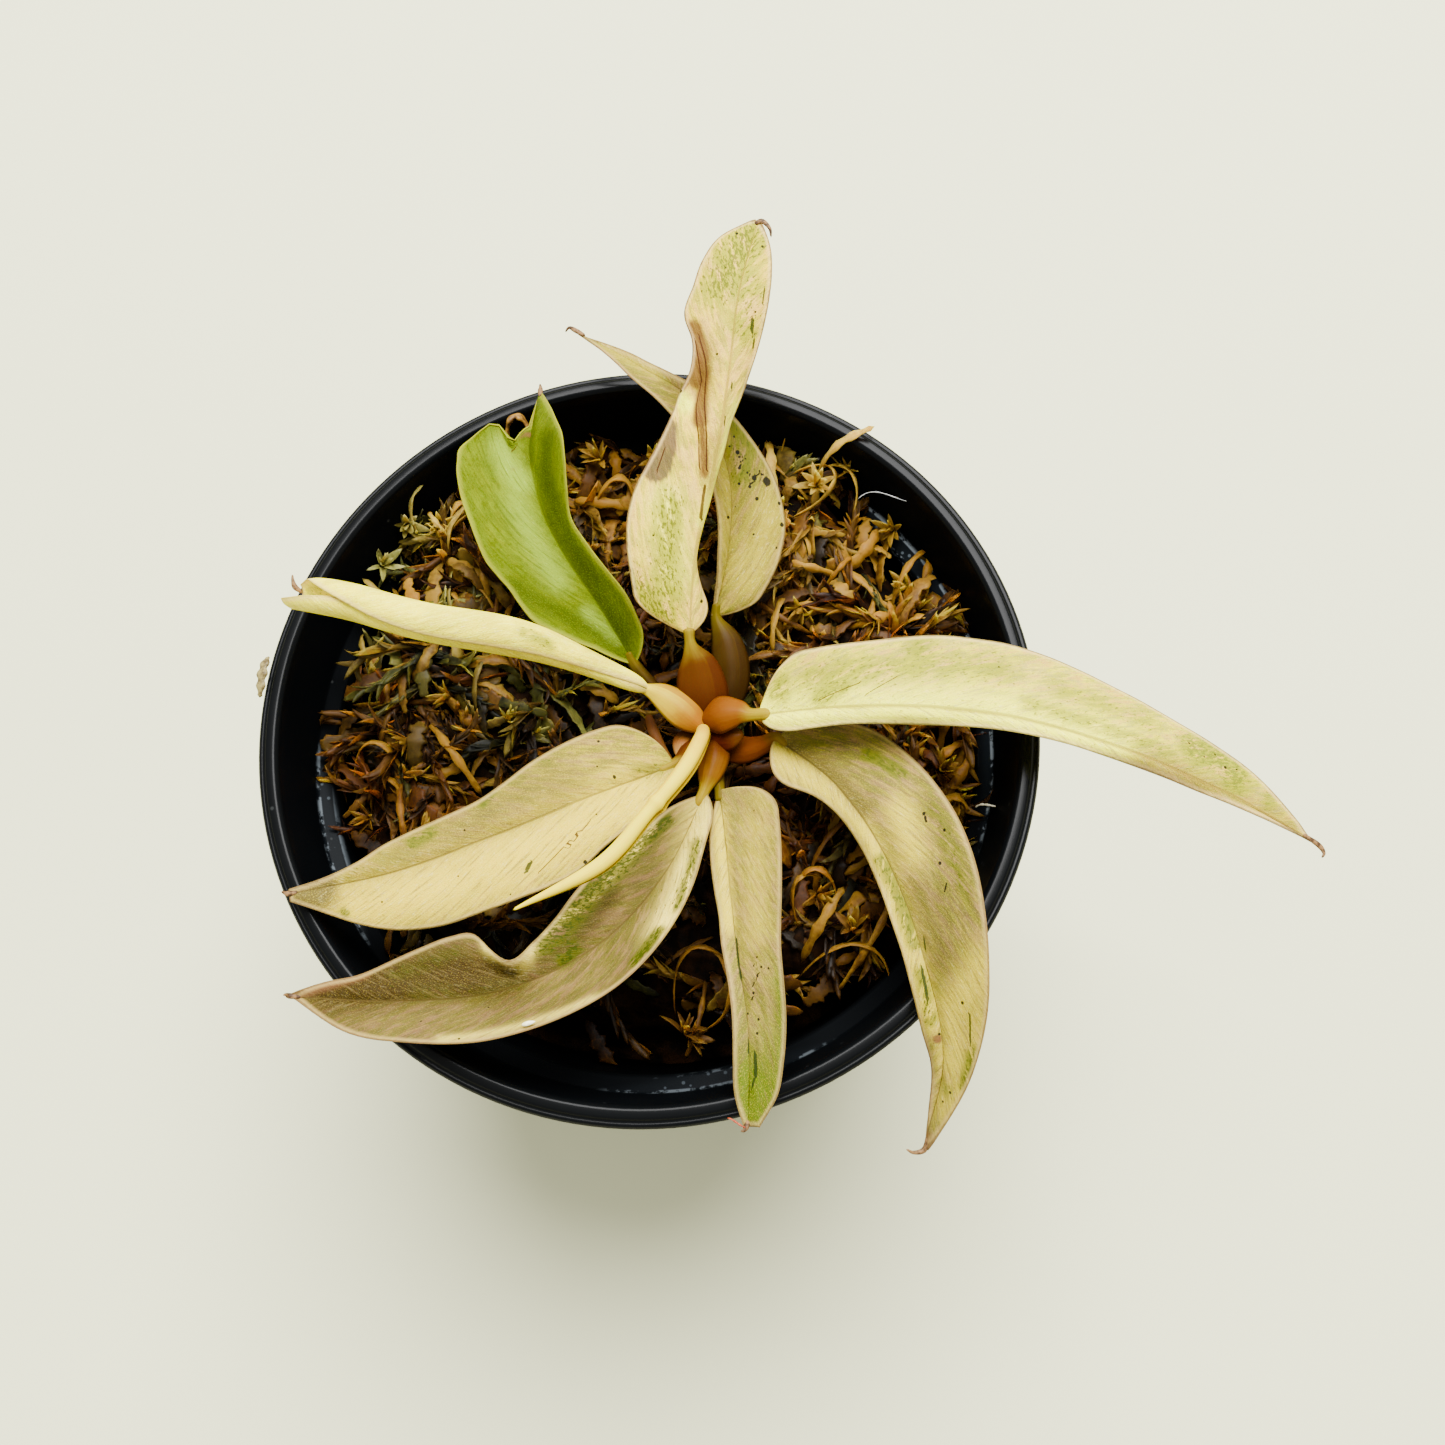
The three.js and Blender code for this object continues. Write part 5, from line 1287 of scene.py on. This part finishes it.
class PHILO_OT_moss_strands(bpy.types.Operator):
    """Strew bent strands of sphagnum over the bed, with the long loops that stand out of it"""

    bl_idname = "philo.moss_strands"
    bl_label = "Moss strands"

    # Four control points of each loop, and its radius, all in mm
    loops = [
        ((17.4, 39.5, 70), (18.4, 47, 78), (23.6, 46.5, 78), (21.5, 39.5, 71), 0.5),
        ((22.6, 37, 73), (24, 39, 79.6), (27, 39, 80.9), (30.1, 40.2, 81.4), 0.6),
        ((18.5, 37.5, 72), (27, 40.5, 76.5), (27.4, 33, 76), (18.5, 31.5, 71), 0.55),
        ((21, 37, 72), (26, 40, 76.5), (29.8, 36, 75.5), (27.2, 31.5, 70), 0.5),
        ((25, 36.5, 73), (28, 38.4, 75), (30, 38, 74), (31, 34.5, 72), 0.6),
        ((17, 29, 70), (21.5, 30, 74.5), (22.5, 26, 73), (20.5, 22.5, 68), 0.4),
        ((16.5, 27, 69), (19, 23, 74), (22, 24, 73.5), (25.5, 23.2, 70), 0.5),
        ((15.5, 43.5, 71), (17, 40, 76), (15.5, 36, 75), (17.5, 32, 71), 0.6),
        ((3.2, -36.5, 64), (1.6, -25.5, 71), (8, -25, 72.5), (11.8, -31, 66), 0.55),
        ((7, -27, 68), (10.8, -28, 71.5), (12.8, -36, 70.5), (6.5, -37.5, 65), 0.5),
        ((18.5, -22.5, 67), (18, -16, 74.5), (24.8, -16, 74.5), (24.2, -22.5, 68), 0.5),
        ((19.5, -25, 67), (16.6, -19, 73.5), (20, -17.5, 73.5), (22.5, -18.5, 70), 0.4),
        ((19.5, -29, 67), (21, -26, 72.5), (23, -23, 73.5), (25.2, -19.6, 71), 0.6),
        ((19, -31, 66), (24, -25, 72.5), (31, -26, 72.5), (31, -32.5, 66), 0.4),
        ((24, -33, 66), (27, -28.5, 72), (32.5, -23, 72.5), (30.5, -18, 69), 0.4),
        ((-40.5, -5, 66), (-40.5, 2.5, 73.5), (-33, 1.5, 73.5), (-33, -7, 67), 0.5),
        ((-38, -9, 66), (-38.5, -2, 72.5), (-31, -4, 72), (-34, -11, 66), 0.4),
        ((-30.5, 3.5, 69), (-27.5, 0, 74), (-25, -3, 74), (-22.6, -7, 69), 0.5),
        ((-31.4, 26, 67), (-33.2, 30, 74), (-34.4, 33, 76.5), (-31, 34.6, 77.4), 0.55),
        ((-29, 27, 68), (-28.6, 33, 75.5), (-25.4, 36.4, 76), (-25, 30, 70), 0.7),
        ((-27.5, 24, 68), (-30, 28, 74), (-27, 31, 76), (-24.4, 33.5, 75), 0.6),
        ((-33, 13, 68), (-33.5, 17, 73), (-36.6, 20.5, 74.5), (-39.5, 22.5, 74), 0.5),
        ((-24, 12.5, 68), (-22.5, 16, 73), (-26.5, 19, 74), (-28, 22, 71), 0.5),
        ((-13.5, 20, 67), (-17, 24, 72), (-16, 30, 73), (-19, 33, 69), 0.5),
        ((-9, 33, 69), (-7, 38, 75), (-2, 39, 75), (-3, 33, 69), 0.8),
        ((2.5, 28, 68), (4, 33, 74), (0.5, 37, 75), (-1, 42, 72), 0.7),
        ((36.5, -12, 67), (37, -8, 73), (40.5, -7, 73.5), (41.5, -10, 71), 0.6),
        ((28, -14, 67), (30, -9, 73), (34, -8, 73.5), (36, -5, 70), 0.6),
        ((13.5, -14, 66), (14.5, -10, 70), (16.8, -13, 71), (18.5, -17, 68), 1.3),
        ((32, 14, 68), (35, 18, 73), (38, 17.5, 73), (39, 14, 69), 0.6),
    ]

    def execute(self, context):
        settings = context.scene.philo_moss
        random = np.random.default_rng(settings.seed + 1)
        x, y = scatter(random, settings.loose, 1.5)
        paths = arched(random, x, y, random.uniform(0, 2 * np.pi, len(x)), random.uniform(5, 13, len(x)),
                       (1.5, 5.5))
        template, t, around = spindle_template(6, 14)
        loose = keep_in_pot(strands((t, around), paths, random.uniform(0.35, 0.95, len(x)),
                                    random.uniform(0.12, 0.3, len(x))))
        looped = np.array([loop[:4] for loop in self.loops], float)
        radius = np.array([loop[4] for loop in self.loops])
        held = strands((t, around), looped, radius * 1.25, np.full(len(radius), 0.22))
        mesh = copies(template, len(loose) + len(held), "moss_strands")
        move_points(mesh, np.concatenate([loose, held]).reshape(-1, 3))
        places = np.concatenate([paths[:, 1], looped[:, 1]])
        tone, lean, _ = moss_kind(places[:, 0], places[:, 1])
        pale = random.normal(0.02, 0.1, len(loose)) + 0.5 * np.clip(tone[:len(loose)] - 0.45, 0, 1)
        lift = np.concatenate([pale, np.full(len(held), 0.2)])
        tones = (tone + lift)[:, None] + 0.12 * np.sin(np.pi * t)[None, :]
        write_attribute(mesh, "tone", tones.ravel())
        lean = np.clip(lean + random.normal(0, 0.08, len(lean)), 0, 1)
        write_attribute(mesh, "lean", np.repeat(lean, len(t)))
        show(mesh, "moss_strands", moss_finish("sphagnum_strands"))
        return {"FINISHED"}


class PHILO_OT_leaves(bpy.types.Operator):
    """Shape the open blades, the leaf that is still rolled and the dry ends of their tips"""

    bl_idname = "philo.leaves"
    bl_label = "Leaf blades"

    slots = {"leaf_east": "leaf_cream", "leaf_north": "leaf_cream", "leaf_green": "leaf_green",
             "leaf_west": "leaf_pale_yellow"}
    # Faces across the rolled leaf, and the widths and depths of a tip's dry end in mm
    rolled_across = 64
    dry_end = ([0.4, 0.7, 0.45, 0.2], [0.3, 0.4, 0.3, 0.16])

    def execute(self, context):
        settings = context.scene.philo_leaf
        hooks = []
        for name, leaf in LEAVES.items():
            across = self.rolled_across if name == "leaf_west" else settings.fineness * 3 // 10
            mesh, weights = blade_mesh(name + "_blade", leaf, across, settings.fineness)
            material = leaf_finish(name, LOOKS[name], leaf["marks"])
            piece = show(mesh, name + "_blade", material, [name])
            thicken(piece, weights, settings.thickness)
            end = np.array(leaf["spine"][-1], float)
            spine = [tuple(end + step) for step in leaf["hook"]]
            hooks.append(closed_rod(spine, *self.dry_end, rings=16, sides=8))
        dry = Finish("dry_tip", "3c2814", {"Specular IOR Level": 0.2})
        grain = dry.noise(dry.place(), 1500, 3)
        dry.paint(grain.step(0.4, 0.6), "7a5a34")
        show(joined(hooks, "dry_tips"), "dry_tips", dry.done(0.6, grain, 0.5, 0.0001))
        return {"FINISHED"}


class PHILO_OT_litter(bpy.types.Operator):
    """Scatter the bits that lie on the plant: a seed, threads, a scrap of moss and a torn leaf end"""

    bl_idname = "philo.litter"
    bl_label = "Litter"

    # Name, four control points in mm, radius in mm, flatness and two tints
    bits = [
        ("thread_northeast", [(28, 33.4, 73), (30.2, 35.4, 74.5), (32.5, 31.8, 76.5), (35.6, 31.2, 76.5)],
         0.06, 1, ("c8ccd0", "e8e8e4")),
        ("thread_east", [(42.4, -9.4, 71), (43, -9, 72.5), (44, -9.6, 72.8), (44.9, -9.6, 72.4)],
         0.14, 1, ("c8c0a0", "e8e0c4")),
        ("rim_scrap", [(-49.4, 9.6, 79.6), (-50, 8, 80.4), (-49.8, 6, 80.4), (-50.2, 4, 79.4)],
         0.8, 0.4, ("4a3c1e", "8a7c48")),
        ("leaf_scrap", [(-19.6, 39.4, 76), (-20.4, 44, 80.5), (-17.4, 45, 80.5), (-16.4, 41.4, 78)],
         1.1, 0.35, ("4a3010", "8a6420")),
        ("thread_south", [(10.4, -48.7, 82), (11.2, -48.8, 82.3), (11.8, -49.6, 82.4), (12.6, -49.8, 82.1)],
         0.12, 1, ("7a2814", "a04a28")),
    ]
    # The seed's length, width, thickness, curl and cup in mm
    seed = (1.7, 0.8, 0.6, 0.2, 0)

    def execute(self, context):
        template, t, around = spindle_template(8, 20)
        for name, path, radius, flat, tints in self.bits:
            mesh = copies(template, 1, name)
            points = strands((t, around), np.array([path], float), np.array([radius]), np.array([flat]))
            move_points(mesh, points[0])
            show(mesh, name, self.fibre(name, *tints))
        leaf = LEAVES["leaf_southwest_lower"]
        place = blade_surface(leaf, np.array([0.56]), np.array([-0.9]))[0][0]
        template, t, around = spindle_template(12, 10)
        mesh = copies(template, 1, "seed")
        root, ahead, normal = (np.array([way], float)
                               for way in (place + [-0.6, 0.1, 0.7], (1, 0.25, 0), (0, 0, 1)))
        move_points(mesh, leaflets((t, around), root, ahead, normal, *np.array([[v] for v in self.seed]))[0])
        show(mesh, "seed", self.fibre("seed", "d8d0a0", "f2ecc8"))
        return {"FINISHED"}

    def fibre(self, name, first, second):
        finish = Finish(name + "_skin", first, {"Specular IOR Level": 0.25})
        grain = finish.noise(finish.place(), 1300, 3)
        finish.paint(grain.step(0.35, 0.65), second)
        return finish.done(0.5, grain, 0.4, 0.0001)


def lens_section(t, angle):
    """A stalk's section, drawn in to two edges."""
    return (np.abs(np.cos(angle)) ** LENS_POWER + np.abs(np.sin(angle)) ** LENS_POWER) ** (-1 / LENS_POWER)


def rolled_section(t, angle):
    """The spear's section, with the seam of its roll and the swelling at its joint."""
    along, reach, swelling = SPEAR_JOINT
    seam = 1 - SPEAR_SEAM * (angle / (2 * np.pi) + 0.5) * np.sin(np.pi * t)
    return seam * (1 + swelling * np.exp(-((t - along) / reach) ** 2))


class PHILO_OT_stem(bpy.types.Operator):
    """Grow the short stem, the sheathing leaf stalks and the new rolled spear"""

    bl_idname = "philo.stem"
    bl_label = "Stem and stalks"

    # Tints at the root, in the middle and at the neck
    tints = {"orange": ("3c1804", "482606", "7c6a0c"), "amber": ("5a2c04", "6c3e06", "8c7806"),
             "caramel": ("3c1804", "6c4404", "947c04"), "russet": ("4a2004", "663206", "7c6410"),
             "umber": ("241402", "342204", "5c4e08"), "ruby": ("2c0802", "3e1202", "4e2a04"),
             "pink": ("4a240a", "70441a", "8a6430"), "strap": ("3c2008", "5a340e", "6e4a1c"),
             "yellow": ("7e4c04", "b09608", "ccb80c"), "spear": ("c8a000", "dcc800", "e8d200"),
             "crown": ("3a1c0a", "4a240c", "5a300c")}

    def execute(self, context):
        for name, (spine, width, depth, colour) in STALKS.items():
            mesh = closed_rod(spine, width, depth, section=lens_section)
            mesh.name = "stalk_" + name
            show(mesh, "stalk_" + name, self.skin("stalk_" + name, colour))
        spine, width, depth = WEST_STALK
        mesh = closed_rod(spine, width, depth, section=lens_section)
        show(mesh, "stalk_west", self.skin("stalk_west", "yellow"))
        heights = (CROWN_ROOT, 55, 66, CROWN[2] + CROWN_RADIUS)
        crown = [(CROWN[0] + 0.02 * (heights[-1] - z), CROWN[1], z) for z in heights]
        mesh = closed_rod(crown, CROWN_WIDTHS, CROWN_WIDTHS, sides=28)
        show(mesh, "crown", self.skin("crown", "crown"), ["stem"])
        spine, width = SPEAR
        mesh = closed_rod(spine, width, width, rings=150, sides=28, section=rolled_section)
        show(mesh, "rolled_spear", self.skin("rolled_spear", "spear"), ["spear"])
        return {"FINISHED"}

    def skin(self, name, colour):
        """A waxy skin that changes from the root to the neck, with fine lines along it, and painted shade on
        its flanks and on the far side of its fold.
        """
        root, middle, neck = self.tints[colour]
        finish = Finish(name + "_skin", root, {"IOR": 1.42, "Specular IOR Level": 0.06,
                                               "Subsurface Weight": 0.1, "Subsurface Scale": 0.001})
        rod = finish.uv("rod")
        line = finish.noise(finish.stretch(rod, (30, 2, 1)), 1, 3, 0.6)
        cloud = finish.noise(finish.place(), 420, 3)
        way = finish.axis(rod, "Y") + cloud * 0.24 - 0.12
        finish.paint(way.step(0.12, 0.5), middle)
        finish.paint(way.step(0.5, 0.86), neck)
        # Painted shade: darker towards the flanks, away from the lit ridge, and beyond the fold on the
        # sheath's far side, towards the root.
        flank = abs(abs(finish.axis(rod, "X") - 0.5) * 4 - 1)
        finish.paint(flank.step(0.5, 1) * 0.35, root)
        fold = 1 - (finish.axis(rod, "X") + way * 0.06).step(0.665, 0.68)
        finish.paint(fold * (1 - way.step(0.5, 0.75)) * 0.6, root)
        finish.paint((line * 0.6 + cloud * 0.5).step(0.45, 0.75) * 0.3, root)
        return finish.done(0.3 + cloud * 0.25, line, 0.25, 0.0002)


SETTINGS = {"philo_pot": PotSettings, "philo_moss": MossSettings, "philo_leaf": LeafSettings,
            "philo_studio": StudioSettings}
OPERATORS = (PHILO_OT_studio, PHILO_OT_pot, PHILO_OT_moss_bed, PHILO_OT_moss_shoots, PHILO_OT_moss_strands,
             PHILO_OT_stem, PHILO_OT_leaves, PHILO_OT_litter)


class PHILO_PT_panel(bpy.types.Panel):
    """The steps that build the plant, in order"""

    bl_idname = "PHILO_PT_panel"
    bl_label = "Philodendron"
    bl_space_type = "VIEW_3D"
    bl_region_type = "UI"
    bl_category = "Philodendron"

    def draw(self, context):
        for operator in OPERATORS:
            self.layout.operator(operator.bl_idname)
        for name, group in SETTINGS.items():
            box = self.layout.box()
            box.label(text=group.__doc__)
            for field in group.__annotations__:
                box.prop(getattr(context.scene, name), field)


def register():
    for group in SETTINGS.values():
        bpy.utils.register_class(group)
    for name, group in SETTINGS.items():
        setattr(bpy.types.Scene, name, bpy.props.PointerProperty(type=group))
    for kind in (*OPERATORS, PHILO_PT_panel):
        bpy.utils.register_class(kind)


def unregister():
    for kind in (PHILO_PT_panel, *reversed(OPERATORS)):
        bpy.utils.unregister_class(kind)
    for name, group in SETTINGS.items():
        delattr(bpy.types.Scene, name)
        bpy.utils.unregister_class(group)


def main():
    register()
    bpy.ops.philo.studio()
    bpy.ops.philo.pot()
    bpy.ops.philo.moss_bed()
    bpy.ops.philo.moss_shoots()
    bpy.ops.philo.moss_strands()
    bpy.ops.philo.stem()
    bpy.ops.philo.leaves()
    bpy.ops.philo.litter()


if __name__ == "__main__":
    main()
